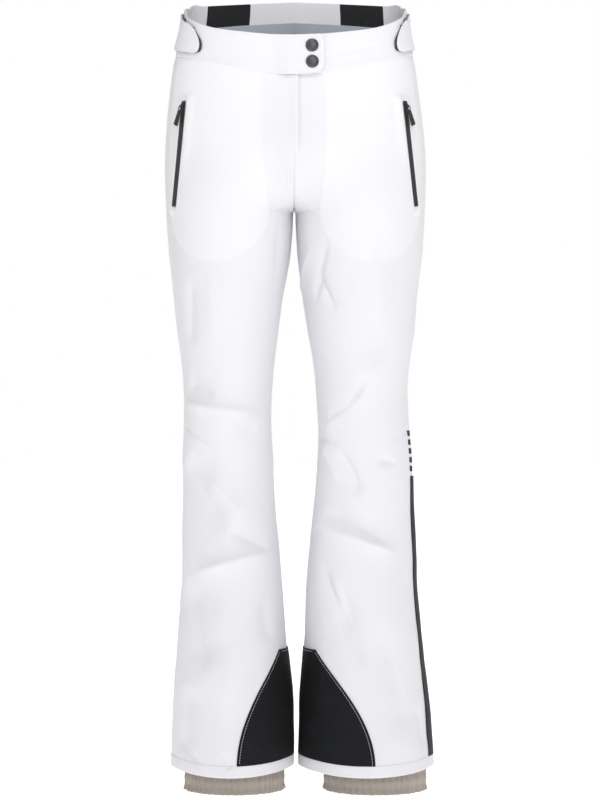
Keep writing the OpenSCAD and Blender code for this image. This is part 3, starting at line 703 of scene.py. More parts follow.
class Finish:
    """One material."""

    def __init__(self, name):
        self.material = bpy.data.materials.new(name)
        self.material.use_nodes = True
        self.tree = self.material.node_tree
        self.tree.nodes.clear()

    def node(self, kind, settings, sockets, output=0):
        """Adds a node with its settings and its sockets' values or links, and gives one output."""
        node = self.tree.nodes.new("ShaderNode" + kind)
        for key, value in settings.items():
            setattr(node, key, value)
        for key, value in sockets.items():
            if isinstance(value, Num):
                self.tree.links.new(value.socket, node.inputs[key])
            else:
                node.inputs[key].default_value = value
        return Num(self.tree, node.outputs[output]) if node.outputs else None

    def chart(self):
        """The cloth's own x and y, in metres."""
        chart = self.node("UVMap", {"uv_map": "chart"}, {})
        return [self.node("SeparateXYZ", {}, {0: chart}, i) for i in (0, 1)]

    def solid(self):
        return self.node("TexCoord", {}, {}, "Object")

    def noise(self, size, detail=3, roughness=0.5):
        """Noise with features of about a size in metres, from 0 to 1."""
        return self.node("TexNoise", {}, {"Vector": self.solid(), "Scale": 1 / size, "Detail": detail,
                                          "Roughness": roughness})

    def mark(self):
        return self.node("Attribute", {"attribute_name": "mark"}, {}, "Fac")

    def mix(self, share, a, b):
        """A colour from a to b."""
        colours = {key: (*value, 1) if isinstance(value, tuple) else value
                   for key, value in ((6, a), (7, b))}
        return self.node("Mix", {"data_type": "RGBA"}, {0: share, **colours}, 2)

    def surface(self, colour, roughness, height=None, deep=0.0002, metal=0.0, sheen=0.0, specular=0.5,
                coat=0.0, coat_rough=0.3):
        """The shader. height, from 0 to 1, is raised by deep metres."""
        if isinstance(colour, tuple):
            colour = (*colour, 1)
        sockets = {"Base Color": colour, "Roughness": roughness, "Metallic": metal, "Sheen Weight": sheen,
                   "Specular IOR Level": specular, "Coat Weight": coat, "Coat Roughness": coat_rough}
        if height is not None:
            sockets["Normal"] = self.node("Bump", {}, {"Strength": 1.0, "Distance": deep, "Height": height})
        shader = self.node("BsdfPrincipled", {}, sockets)
        self.node("OutputMaterial", {}, {"Surface": shader})
        return self.material


def weave(x, y, pitch):
    """A plain weave's height, from 0 to 1, on chart x and y in metres."""
    warp, weft = (x * (math.pi / pitch)).sin(), (y * (math.pi / pitch)).sin()
    over = warp * weft > 0
    return warp.abs() * over + weft.abs() * (1 - over)


def shell_cloth():
    f = Finish("white_shell_weave")
    x, y = f.chart()
    crumple = f.noise(0.011, 4, 0.55)
    patches = f.noise(0.14, 2)
    colour = f.mix(patches, (0.790, 0.783, 0.818), (0.822, 0.817, 0.846))
    colour = f.mix(f.mark() * 0.6, colour, (0.86, 0.86, 0.875))
    height = weave(x, y, 0.00055) * 0.3 + crumple
    return f.surface(colour, 0.52 + patches * 0.08, height, 0.00032, sheen=0.12, specular=0.35)


def lining_cloth(name, light, dark):
    f = Finish(name)
    x, y = f.chart()
    knit = (x * (math.pi / 0.0011)).sin().abs() * (y * (math.pi / 0.0015)).sin().abs()
    colour = f.mix(knit, dark, light)
    return f.surface(colour, 0.6, knit + f.noise(0.02) * 0.6, 0.0003, sheen=0.2)


def thread(name, colour):
    f = Finish(name)
    twist = f.noise(0.0005, 1)
    return f.surface(f.mix(twist, tuple(0.85 * c for c in colour), colour), 0.5, twist, 0.00005, sheen=0.2)


ELASTIC_RIB = 0.0033


def ribbed_elastic():
    f = Finish("ribbed_elastic")
    x, y = f.chart()
    ridge = (x * (2 * math.pi / ELASTIC_RIB)).sin() * 0.5 + 0.5
    cover = (y * (math.pi / 0.0011)).sin().abs() * 0.5 + f.noise(0.003) * 0.5
    # Painted shade and highlight: the colour is darker in the grooves between the mesh's ribs and lighter on
    # their crests; the cover's thread pattern mixed into it is the elastic's own.
    colour = f.mix(ridge * (cover * 0.5 + 0.5), (0.006, 0.007, 0.009), (0.044, 0.047, 0.054))
    return f.surface(colour, 0.62, cover, 0.0002, sheen=0.1, specular=0.3)


def coated_guard():
    f = Finish("coated_guard_cloth")
    x, y = f.chart()
    basket = weave(x, y, 0.0012)
    grain = f.noise(0.0016, 3)
    scuffs = (f.noise(0.035, 4, 0.65) - 0.52).max(0) * 2.2
    colour = f.mix(scuffs + grain * 0.35, (0.0035, 0.004, 0.005), (0.015, 0.016, 0.018))
    return f.surface(colour, 0.55 + grain * 0.14, basket + grain * 0.8, 0.0002, sheen=0.02, specular=0.18)


def stripe_tape():
    f = Finish("black_knit_tape")
    x, y = f.chart()
    wale = (x * (math.pi / 0.0008)).sin().abs() * 0.7 + (y * (math.pi / 0.0006)).sin().abs() * 0.3
    colour = f.mix(wale, (0.003, 0.0035, 0.004), (0.010, 0.011, 0.012))
    return f.surface(colour, 0.6, wale, 0.00015, sheen=0.03, specular=0.18)


def gaiter_cloth():
    f = Finish("taupe_gaiter_cloth")
    x, y = f.chart()
    patches = f.noise(0.03, 3)
    colour = f.mix(patches, (0.345, 0.298, 0.262), (0.440, 0.385, 0.340))
    height = weave(x, y, 0.0006) * 0.5 + f.noise(0.006, 3)
    return f.surface(colour, 0.5 + patches * 0.1, height, 0.0002, sheen=0.15)


def hook_and_loop():
    f = Finish("hook_and_loop")
    pile_cloth = f.noise(0.0012, 4, 0.8)
    colour = f.mix(pile_cloth, (0.004, 0.004, 0.005), (0.04, 0.04, 0.043))
    return f.surface(colour, 0.85, pile_cloth, 0.0008, sheen=0.3)


def zip_tape(name, dark, light, coat):
    f = Finish(name)
    across = f.chart()[0]
    ribs = (across * (math.pi / 0.0007)).sin().abs()
    height = ribs + f.noise(0.003) * 0.4
    return f.surface(f.mix(ribs, dark, light), 0.42, height, 0.0001, coat=coat)


def moulded(name, colour, roughness, metal=0.0, coat=0.0):
    """Moulded plastic, lacquer or plated metal, with a fine grain and lighter worn patches here and there."""
    f = Finish(name)
    fine = f.noise(0.0006, 3, 0.6)
    worn = f.noise(0.006, 4, 0.6)
    light = tuple(min(1.0, c * 1.45 + 0.004) for c in colour)
    dull = roughness + fine * 0.14 - 0.07
    colour = f.mix(worn, colour, light)
    return f.surface(colour, dull, fine, 0.00003, metal=metal, coat=coat, coat_rough=0.25)


SHELL = shell_cloth()
LINING = lining_cloth("white_inner_lining", (0.74, 0.75, 0.78), (0.66, 0.67, 0.70))
SEAT_LINING = lining_cloth("blue_grey_seat_lining", (0.50, 0.54, 0.60), (0.42, 0.455, 0.515))
THREAD = thread("white_thread", (0.80, 0.80, 0.82))
BLACK_THREAD = thread("black_thread", (0.02, 0.02, 0.022))
ELASTIC = ribbed_elastic()
GUARD = coated_guard()
STRIPE = stripe_tape()
GAITER = gaiter_cloth()
HOOK = hook_and_loop()
BLACK_TAPE = zip_tape("coated_black_zip_tape", (0.008, 0.008, 0.009), (0.020, 0.020, 0.022), 0.3)
WHITE_TAPE = zip_tape("white_zip_tape", (0.62, 0.62, 0.64), (0.74, 0.74, 0.76), 0.0)
BLACK_COIL = moulded("black_zip_coil", (0.012, 0.012, 0.013), 0.4)
WHITE_COIL = moulded("white_zip_coil", (0.66, 0.66, 0.68), 0.4)
BLACK_SLIDER = moulded("black_lacquered_slider", (0.014, 0.014, 0.015), 0.32, metal=0.2, coat=0.4)
PULL_RUBBER = moulded("black_pull_rubber", (0.012, 0.012, 0.013), 0.5)
NICKEL = moulded("plain_nickel", (0.42, 0.42, 0.44), 0.28, metal=1.0)
SNAP_LACQUER = moulded("gunmetal_snap_lacquer", (0.040, 0.042, 0.046), 0.38, metal=0.55, coat=0.25)
SNAP_BRASS = moulded("blackened_brass", (0.035, 0.034, 0.034), 0.36, metal=0.9)


# ------------------------------------------------------------------ trouser panels

def panel(name, side, u, s, lift, body, slot, replaces=(), finishes=None,
          thick=CLOTH, rolled="", stitches=(), mark=None, dressing=None, fullness=1.0):
    pile = Pile()
    outer, out, chart = lay(side, u, s, lift)
    pile.sheet(outer, out, chart, thick, rolled, mark=mark)
    for line in stitches:
        sew(pile, side, line, lift)
    if dressing:
        dressing(pile)
    piece = pile.make(name, finishes or [SHELL, LINING, THREAD])
    length = float(s.max() - s.min()) * MM
    declare(flat_area(side, u, s) * fullness, max(length, 0.012))
    return place(piece, body, slot, replaces)


def dense(line, step=0.8):
    """Points between those of a line on the cloth, close together."""
    line = np.asarray(line, float)
    run = np.concatenate([[0], np.cumsum(np.hypot(np.diff(line[:, 0]) * 480, np.diff(line[:, 1])))])
    at = np.linspace(0, run[-1], max(2, int(run[-1] / step)))
    return np.interp(at, run, line[:, 0]), np.interp(at, run, line[:, 1])


def sew(pile, side, line, lift, **how):
    """A row of stitches along a line of (u, s) on cloth with that lift."""
    u, s = dense(line, 2)
    out = outward(side, u, s)
    pile.stitch(fitted(side, u, s) + lift(side, u, s)[:, None] * out, out, **how)


def beside(line, by):
    """A line on the cloth moved across by so many millimetres of drop."""
    return [(u, s + by) for u, s in line]


HIP_BLEND = (-0.262, -0.432)
KNEE_BLEND = (-0.456, -0.690)


def bend_zone(upper, lower, zone):
    """Two bodies and two heights, for cloth that lies between one body and the other."""
    return upper, lower, (0, 0, zone[0]), (0, 0, zone[1])


def pocket_stitches(side):
    """A row of stitches round a pocket zip."""
    origin, axes = POCKETS[side]
    off = TAPE_W / 2 + 5.2
    x0, x1 = -7, ZIP_L + 7
    corners = np.array([[x0, -off], [x1, -off], [x1, off], [x0, off], [x0, -off]])
    run = np.concatenate([[0], np.cumsum(np.abs(np.diff(corners, axis=0)).sum(1))])
    at = np.linspace(0, run[-1], 400)
    flat = np.stack([np.interp(at, run, corners[:, i]) for i in (0, 1)] + [np.full(400, 0.35)], -1)
    return lambda pile: pile.stitch(origin + flat @ axes, np.tile(axes[2], (400, 1)))


def make_leg(side):
    """The shell's four panels of one leg and its turned hem."""
    name = SIDES[side]
    hips_to_thigh = bend_zone("hips", f"{name}_thigh", HIP_BLEND)
    thigh_to_shin = bend_zone(f"{name}_thigh", f"{name}_shin", KNEE_BLEND)

    u, s = grid_of(0, 1, 156, BAND - 1, THIGH_CUT, 172)
    start = front_start(side, s)
    u = start + (0.5 - start) * u
    centre = [[(0.007, 190), (0.007, 244)], [(0.015, 192), (0.015, 240)]] if side == LEFT else []
    darts = [beside(line, by) for line in DARTS[side][:1] for by in (-2.2, 2.2)]
    panel(f"{name}_front_thigh_panel", side, u, s, relief, hips_to_thigh, "shell",
          [f"{name}_hip_front", f"{name}_thigh_top", f"{name}_thigh_front", f"{name}_pocket_bag"],
          stitches=centre, mark=bag_share(side, u, s), dressing=pocket_stitches(side))

    u, s = grid_of(0.5, 1, 84, BAND - 1, THIGH_CUT, 130)
    yoke = [beside(YOKE, by) for by in (2.4, 5.4)]
    seat = [[(0.992, BAND + 4), (0.992, 240)]]
    panel(f"{name}_back_thigh_panel", side, u, s, relief, hips_to_thigh, "shell",
          [f"{name}_hip_back", f"{name}_thigh_back"], stitches=yoke + seat)

    u, s = grid_of(0, 0.5, 84, THIGH_CUT, HEM - HEM_TURN + 4, 190)
    panel(f"{name}_front_calf_panel", side, u, s, relief, thigh_to_shin, "shell",
          [f"{name}_knee", f"{name}_calf_front"], stitches=darts)

    u, s = grid_of(0.5, 1, 84, THIGH_CUT, HEM - HEM_TURN + 4, 190)
    panel(f"{name}_back_calf_panel", side, u, s, relief, thigh_to_shin, "shell",
          [f"{name}_calf_back"])

    u, s = grid_of(0, 1, 200, HEM - HEM_TURN, HEM - 0.5, 7)
    turn = lambda side, u, s: relief(side, u, np.minimum(s, HEM)) + 0.9
    sewn = HEM - HEM_TURN + 2.2
    panel(f"{name}_hem_turn", side, u, s, turn, f"{name}_shin", "shell", [f"{name}_hem"], thick=2.8,
          rolled="tb", stitches=[[(0.0, sewn), (1.0, sewn)]])


GUARD_TOP = 857
GUARD_HALF = {RIGHT: 0.233, LEFT: 0.268}
GUARD_WAIST = 0.38
GUARD_SEWN = 0.006  # u from the guard's side edges to their stitches


def make_guard(side):
    """The dark guard inside the hem, edged with white stitching."""
    name = SIDES[side]
    t, s = grid_of(-1, 1, 150, GUARD_TOP, HEM - HEM_TURN - 1, 70)
    down = (s - GUARD_TOP) / (HEM - HEM_TURN - GUARD_TOP)
    half = GUARD_HALF[side] * (GUARD_WAIST + (1 - GUARD_WAIST) * (1 - (1 - down) ** 2))
    lift = lambda side, u, s: relief(side, u, s) + 1.3
    rows = list(zip(half[1:, 0], s[1:, 0]))
    stitches = [[(way * (reach - GUARD_SEWN), drop) for reach, drop in rows] for way in (-1, 1)]
    top = GUARD_HALF[side] * GUARD_WAIST - 0.008
    stitches.append([(-top, GUARD_TOP + 2.5), (top, GUARD_TOP + 2.5)])
    panel(f"{name}_guard_patch", side, t * half, s, lift, f"{name}_shin", "guard", [f"{name}_instep_guard"],
          finishes=[GUARD, GUARD, THREAD], thick=1.2, rolled="tlr", stitches=stitches)


def stripe_lift(side, u, s):
    """The stripe bridges the groove of the side seam."""
    return relief(side, np.where(np.abs(u - 0.5) < 0.02, 0.478, u), s) + 1.3


def make_stripe():
    """The side stripe of the wearer's left leg, and plain dashes above it."""
    u, s = grid_of(0.440, 0.506, 16, 622, HEM - HEM_TURN - 1, 150)
    blend = bend_zone("left_thigh", "left_shin", KNEE_BLEND)
    panel("left_side_stripe", LEFT, u, s, stripe_lift, blend, "stripe", ["side_stripe"],
          finishes=[STRIPE, STRIPE, BLACK_THREAD], thick=1.0, rolled="tlrb",
          stitches=[[(0.444, 626), (0.444, 1006)], [(0.502, 626), (0.502, 1006)]])
    for i in range(5):
        top = 560 + 12 * i
        u, s = grid_of(0.440, 0.474, 8, top, top + 7, 4)
        pile = Pile()
        pile.sheet(*lay(LEFT, u, s, lambda side, u, s: relief(side, u, s) + 0.5), 0.6, "tblr")
        place(pile.make(f"left_stripe_dash_{i + 1}", [STRIPE, STRIPE]), blend, "stripe")


# ------------------------------------------------------------------ waist

def waist_uneven(points):
    return 0.45 * unevenness(points, BROAD) + 0.12 * unevenness(points, FINE)


def corner_rise(u):
    """How far the band's top edge stands up at the side, where the tab gathers it."""
    v = np.abs(u)
    return 1.5 * np.exp(-((v - 0.515) / 0.02) ** 2) + 2.5 * np.exp(-((v - 0.60) / 0.03) ** 2)


def band_lift(side, u, s):
    """How far the waistband lies out, with the pinches beside the side tab."""
    v = np.abs(u)
    pinch = 2.6 * np.exp(-((v - 0.50) / 0.02) ** 2) - 3.0 * np.exp(-((v - 0.545) / 0.018) ** 2)
    pinch = pinch * smooth((30 - s) / 30)
    return 0.6 + waist_uneven(fitted(side, u, s)) + pinch + drawn_in(u, s)


def left_band_lift(side, u, s):
    """The left half of the band, with the creases that its tab pulls in it."""
    crease = fold(LEFT, u, s, -1.6, 3.5, 0.2, [(0.12, 35), (0.18, 29), (0.33, 27)])
    crease += fold(LEFT, u, s, -1.0, 3, 0, [(0.15, 44), (0.24, 40)])
    return band_lift(side, u, s) + crease


def tab_lift(side, u, s):
    """The right band rises as it comes to the middle, and ends in the tab that laps over the left band."""
    return band_lift(side, u, s) + (TAB_LIFT - 0.6) * smooth((u + 0.125) / 0.085)


def band_grid(u0, u1, cols, rows=22):
    """A grid over the waistband, up to its uneven top edge."""
    u, t = grid_of(u0, u1, cols, 0, 1, rows)
    top = -corner_rise(u)
    return u, top + (BAND + 1 - top) * t


def band_rows(u0, u1, rows=(2.6, BAND - 1.6)):
    """Straight rows of stitches along the band at some drops."""
    return [[(u0, s), (u1, s)] for s in rows]


ELASTIC_MIDDLE = (ELASTIC_U + BACK_U) / 2


def rib_lift(side, u, s):
    """The elastic's ribs, in step with those of its finish, whose colour has painted shade in the grooves and
    a painted highlight on the crests.
    """
    run = (u - ELASTIC_MIDDLE) * girth(side, s) * MM
    return 0.3 + 0.62 * np.sin(2 * np.pi * run / ELASTIC_RIB)


def make_waist():
    """The two halves of the band, the elastic panels, the back and the seat lining."""
    u, s = band_grid(-0.035, ELASTIC_U, 170)
    panel("left_waistband_cloth", LEFT, u, s, left_band_lift, "hips", "shell", ["left_waistband"],
          finishes=[SHELL, SHELL, THREAD], thick=2.6, rolled="tbl",
          stitches=band_rows(-0.03, ELASTIC_U))

    u, s = band_grid(-ELASTIC_U, 0.137, 200)
    t = (s + corner_rise(u)) / (BAND + corner_rise(u))
    corner = 0.012 * (np.maximum(0, np.abs(t - 0.5) - 0.36) / 0.14) ** 2
    u = u - corner * smooth((u - 0.08) / 0.05)
    blend = ("hips", "waist_tab", (-0.030, 0, 0), (0.006, 0, 0))
    box_stitch = [[(0.128, 6), (0.128, 46)]]
    panel("right_waistband_cloth", LEFT, u, s, tab_lift, blend, "shell", ["right_waistband", "waist_tab"],
          finishes=[SHELL, SHELL, THREAD], thick=2.4, rolled="tbr",
          stitches=band_rows(-ELASTIC_U, 0.126) + box_stitch)

    for side, name in SIDES.items():
        u, s = grid_of(ELASTIC_U, BACK_U, 190, 0, BAND + 1, 14)
        panel(f"{name}_elastic_band", side, u, s, rib_lift, "hips", "elastic", [f"{name}_elastic_panel"],
              finishes=[ELASTIC, ELASTIC, BLACK_THREAD], thick=2.0, rolled="t",
              fullness=1.5, stitches=band_rows(ELASTIC_U, BACK_U, (13, 26, 39)))

    u, s = grid_of(BACK_U, 2 - BACK_U, 110, 0, BAND + 1, 16)
    ends = [[(end, 3), (end, 50)] for end in (BACK_U + 0.008, 2 - BACK_U - 0.008)]
    panel("back_waistband_cloth", LEFT, u, s, band_lift, "hips", "shell", ["back_waistband"],
          finishes=[SHELL, SHELL, THREAD], thick=2.6, rolled="tb",
          stitches=band_rows(BACK_U, 2 - BACK_U) + ends)

    u, s = grid_of(ELASTIC_U, 2 - ELASTIC_U, 110, FACING, LINING_END, 30)
    behind = lambda side, u, s: -4.0 + waist_uneven(fitted(side, u, s))
    panel("seat_lining_cloth", LEFT, u, s, behind, "hips", "lining", ["seat_lining"],
          finishes=[SEAT_LINING, SEAT_LINING, THREAD], thick=1.0, rolled="t")


TAB_ROOT = 0.56
TAB_FREE = {RIGHT: 0.331, LEFT: 0.360}


def tab_edge(side, s):
    """u of a side tab's curved front edge."""
    return TAB_FREE[side] + 0.042 * ((s - 34) / 30) ** 2


def make_adjuster(side):
    """The side tab with its rounded end, the hook strip under it and the loop patch on the band."""
    name = SIDES[side]
    body = f"{name}_adjuster"

    u, t = grid_of(tab_edge(side, 34) + 0.03, TAB_ROOT - 0.01, 70, 0, 1, 14)
    top = 8 - 6 * np.exp(-((u - 0.425) / 0.010) ** 2)
    low = 42 + 6.5 * np.exp(-((u - 0.492) / 0.010) ** 2)
    lift = lambda side, u, s: band_lift(side, u, s) + 1.1
    s = top + (low - top) * t
    panel(f"{name}_loop_strip", side, u, s, lift, "hips", "hook_loop", [f"{name}_loop_patch"],
          finishes=[HOOK, HOOK, BLACK_THREAD], thick=1.0, rolled="tblr")

    def over(high):
        def lift(side, u, s):
            root = smooth((TAB_ROOT + 0.01 - u) / 0.05)
            return band_lift(side, u, s) + 1.2 + (high - 1.2) * root
        return lift

    def tab_grid(high, low, ahead, cols):
        t, s = grid_of(0, 1, cols, high, low, 26)
        free = tab_edge(side, s) - ahead * smooth((s - 8) / 20)
        ends = np.minimum(s - high, low - s)
        free = free + 0.016 * (1 - np.sqrt(1 - np.clip(1 - ends / 5, 0, 1) ** 2))
        return free + (TAB_ROOT + 0.006 - free) * t, s

    u, s = tab_grid(8, 45.5, 0.0075, 60)
    panel(f"{name}_hook_strip", side, u, s, over(2.3), body, "hook_loop", [f"{name}_hook_patch"],
          finishes=[HOOK, HOOK, BLACK_THREAD], thick=1.0, rolled="tblr")
    u, s = tab_grid(5, 47, 0, 70)
    edge = [(u[j, 0] + 0.008, s[j, 0]) for j in range(2, len(u) - 2)]
    panel(f"{name}_side_tab", side, u, s, over(4.1), body, "shell", [f"{name}_adjuster_tab"], thick=1.7,
          rolled="tblr",
          stitches=[edge, [(edge[0][0], 7.4), (TAB_ROOT, 7.4)], [(edge[-1][0], 44.6), (TAB_ROOT, 44.6)]])


def stand(side, u, s, lift):
    """A place on the cloth, with axes down it, across it and out of it."""
    out = outward(side, u, s)
    down = unit(fitted(side, u, s + 2.0) - fitted(side, u, s - 2.0))
    return fitted(side, u, s) + lift * out, np.stack([down, np.cross(out, down), out])


def turned(pile, where, outline_of, sides=48):
    """A turned part: its outline is radius and height, from the middle of its face round to its back."""
    origin, axes = where
    angle = 2 * np.pi * np.arange(sides) / sides
    rings = [origin + np.stack([r * np.cos(angle), r * np.sin(angle), np.full(sides, h)], -1) @ axes
             for r, h in outline_of]
    pile.tube(rings)


# Outlines of a snap's pieces, as radius and height in millimetres.
CAP = [(0.3, 2.15), (2.6, 2.1), (4.4, 1.95), (5.6, 1.7), (6.0, 1.35), (6.4, 1.3), (6.8, 1.75),
       (7.6, 1.85), (8.3, 1.6), (8.7, 1.1), (8.75, 0.5), (8.5, 0.05), (4.0, 0.0)]
SOCKET = [(2.3, 1.5), (2.9, 1.7), (4.6, 1.6), (5.6, 1.2), (6.0, 0.6), (6.0, 0.1), (3.0, 0.0)]
STUD = [(0.3, 2.4), (1.4, 2.35), (1.9, 2.0), (2.0, 1.5), (1.6, 1.0), (1.8, 0.75), (4.8, 0.6),
        (5.8, 0.35), (5.9, 0.0)]


def make_snaps():
    """The caps on the tab, the sockets behind it and the studs on the band below."""
    for name, node, shape, lift, body, slot, finish in (
            ("snap_cap_shells", "snap_caps", CAP, TAB_LIFT + 0.15, "waist_tab", "snap_cap", SNAP_LACQUER),
            ("snap_socket_rings", "snap_sockets", SOCKET, 1.3, "waist_tab", "snap_metal", SNAP_BRASS),
            ("snap_stud_posts", "snap_studs", STUD, 0.95, "hips", "snap_metal", SNAP_BRASS)):
        pile = Pile()
        for s in (SNAP_S, SNAP_S + SNAP_PITCH):
            turned(pile, stand(LEFT, SNAP_U, s, lift), shape)
        place(pile.make(name, [finish]), body, slot, [node])


# ------------------------------------------------------------------ fly and zips

TAPE_GAP = 0.55     # from the middle of a zip to each tape


def slab(pile, where, sections, sides=20, square=4):
    """A smooth bar. Each section is x, half width, half thickness and the centre's height."""
    origin, axes = where
    angle = 2 * np.pi * (np.arange(sides) + 0.5) / sides
    c, d = np.cos(angle), np.sin(angle)
    c, d = np.sign(c) * np.abs(c) ** (2 / square), np.sign(d) * np.abs(d) ** (2 / square)
    rings = [origin + np.stack([np.full(sides, x), w * c, z + t * d], -1) @ axes for x, w, t, z in sections]
    pile.tube(rings)


def zip_tapes(where, length, width, level):
    """Two tapes, each with a bead along its inner edge and stitches along its outer edge."""
    origin, axes = where
    pile = Pile()
    for half in (-1, 1):
        x, y = np.meshgrid(np.linspace(0, length, 60), half * np.linspace(TAPE_GAP, width / 2, 8))
        arch = 0.35 * np.cos(np.pi * (np.abs(y) - TAPE_GAP) / width)
        bead = 0.25 * np.exp(-((np.abs(y) - 0.9) / 0.5) ** 2)
        grid = np.stack([x, y, level + 0.45 + arch + bead], -1) @ axes + origin
        out = np.tile(axes[2], (*x.shape, 1))
        pile.sheet(grid, out, np.stack([y, x], -1) * MM, 0.7, "tblr", (0, 0))
        run = np.linspace(4, length - 4, 90)
        edge = np.stack([run, np.full(90, half * (width / 2 - 1.0)), np.full(90, level + 0.62)], -1)
        pile.stitch(origin + edge @ axes, np.tile(axes[2], (90, 1)), pitch=3.0, radius=0.22, finish=0)
    return pile


def zip_coil(where, length, level):
    """The turns of the coil, and a stop at each end."""
    origin, axes = where
    pile = Pile()
    at = np.arange(3, length - 3, 1.25)
    way = np.where(np.arange(len(at)) % 2, 1, -1)[:, None] * axes[1]
    middle = origin + at[:, None] * axes[0] + (level + 0.55) * axes[2]
    pile.capsules(middle - 1.5 * way, middle + 0.9 * way, np.tile(axes[2], (len(at), 1)), 0.5, 0)
    for end in (1.2, length - 1.6):
        slab(pile, (origin + end * axes[0] + (level + 0.8) * axes[2], axes),
             [(-1.2, 1.6, 0.3, 0), (-1.0, 2.4, 0.6, 0), (1.0, 2.4, 0.6, 0), (1.2, 1.6, 0.3, 0)])
    return pile


def zip_slider(where):
    """The slider's body, and the bow over it that holds the pull."""
    origin, axes = where
    pile = Pile()
    slab(pile, where, [(-0.3, 1.0, 0.5, 0.8), (0.0, 2.0, 0.9, 0.9), (1.0, 2.7, 1.1, 1.0),
                       (5.0, 2.6, 1.2, 1.1), (8.0, 3.4, 1.1, 1.0), (9.6, 3.5, 1.0, 0.9),
                       (10.0, 3.0, 0.6, 0.8)])
    bow = np.linspace(0.0, math.pi, 9)
    centres = np.stack([2.2 + 1.8 * (1 - np.cos(bow)), np.zeros(9), 1.9 + 2.7 * np.sin(bow)], -1)
    angle = 2 * np.pi * (np.arange(12) + 0.5) / 12
    across = np.outer(np.cos(angle) * 1.3, [0, 1, 0])
    rings = []
    for centre, way in zip(centres, unit(np.gradient(centres, axis=0))):
        up = np.outer(np.sin(angle) * 0.5, np.cross(way, [0, 1, 0]))
        rings.append(origin + (centre + across + up) @ axes)
    pile.tube(rings)
    return pile


def zip_pull(where, splay):
    """A wire ring through the slider's bow, and a ribbed tongue that hangs from it."""
    origin, axes = where
    pile = Pile()
    eye = origin + 4.0 * axes[0] + 4.4 * axes[2]
    turn = np.linspace(0, 2 * np.pi, 25)[:-1]
    ring = np.stack([3.2 + 3.4 * np.cos(turn), 2.6 * np.sin(turn), np.zeros(24)], -1)
    past = 0.12 * (np.roll(ring, -1, axis=0) - ring)
    ups = np.tile(axes[2], (24, 1))
    pile.capsules(eye + (ring - past) @ axes, eye + (np.roll(ring, -1, axis=0) + past) @ axes, ups, 0.62, 1)
    cs, sn = math.cos(math.radians(splay)), math.sin(math.radians(splay))
    lean = np.stack([cs * axes[0] + sn * axes[1], cs * axes[1] - sn * axes[0], axes[2]])
    root = eye + 6.0 * axes[0]
    slab(pile, (root, lean), [(-0.8, 1.6, 0.5, 0), (-0.4, 2.3, 0.9, 0), (1.2, 3.0, 1.05, 0),
                              (6, 3.5, 1.0, 0), (12, 3.9, 1.0, 0), (17.5, 4.3, 1.05, 0),
                              (20.0, 4.4, 1.05, 0), (20.9, 3.9, 0.8, 0), (21.2, 3.0, 0.4, 0)])
    for x in np.arange(8.0, 18.0, 2.0):
        ends = [(root + np.array([x, y, 1.0]) @ lean)[None] for y in (-2.8, 2.8)]
        pile.capsules(*ends, axes[2][None], 0.35, 0)
    return pile


def make_zip(name, where, length, width, level, body, slots, finishes, nodes, slider_at, splay):
    """A zip: two tapes, the coil between them, its slider and its pull."""
    origin, axes = where
    tape, coil, metal, rubber = finishes
    seat = (origin + slider_at * axes[0] + (level + 1.0) * axes[2], axes)
    for piece, pile, used, rides_on, slot in (
            ("tapes", zip_tapes(where, length, width, level), [tape], body, slots[0]),
            ("coil", zip_coil(where, length, level), [coil], body, slots[0]),
            ("slider", zip_slider(seat), [metal], nodes["slider_body"], slots[1]),
            ("pull", zip_pull(seat, splay), [rubber, metal], nodes["pull_body"], slots[1])):
        place(pile.make(f"{name}_zip_{piece}", used), rides_on, slot, nodes[piece])


def make_pocket_zip(side):
    name = SIDES[side]
    make_zip(f"{name}_pocket", POCKETS[side], ZIP_L, TAPE_W, 0.5, "hips", ("zip_black", "slider_black"),
             (BLACK_TAPE, BLACK_COIL, BLACK_SLIDER, PULL_RUBBER),
             {"tapes": [f"{name}_pocket_tape"], "coil": [f"{name}_pocket_coil"],
              "slider": [f"{name}_pocket_slider"], "slider_body": f"{name}_pocket_slider",
              "pull": [f"{name}_pocket_pull"], "pull_body": f"{name}_pocket_pull"},
             slider_at=3, splay=side * 17)


def fly_line():
    """Origin and axes of the fly zip."""
    a, b = (fitted(LEFT, 0, s) - 2.5 * outward(LEFT, 0, s) for s in (56, 146))
    a[0] = b[0] = -6
    x = unit(b - a)
    y = unit(np.cross([0, -1, 0], x))
    return a, np.stack([x, y, np.cross(x, y)])


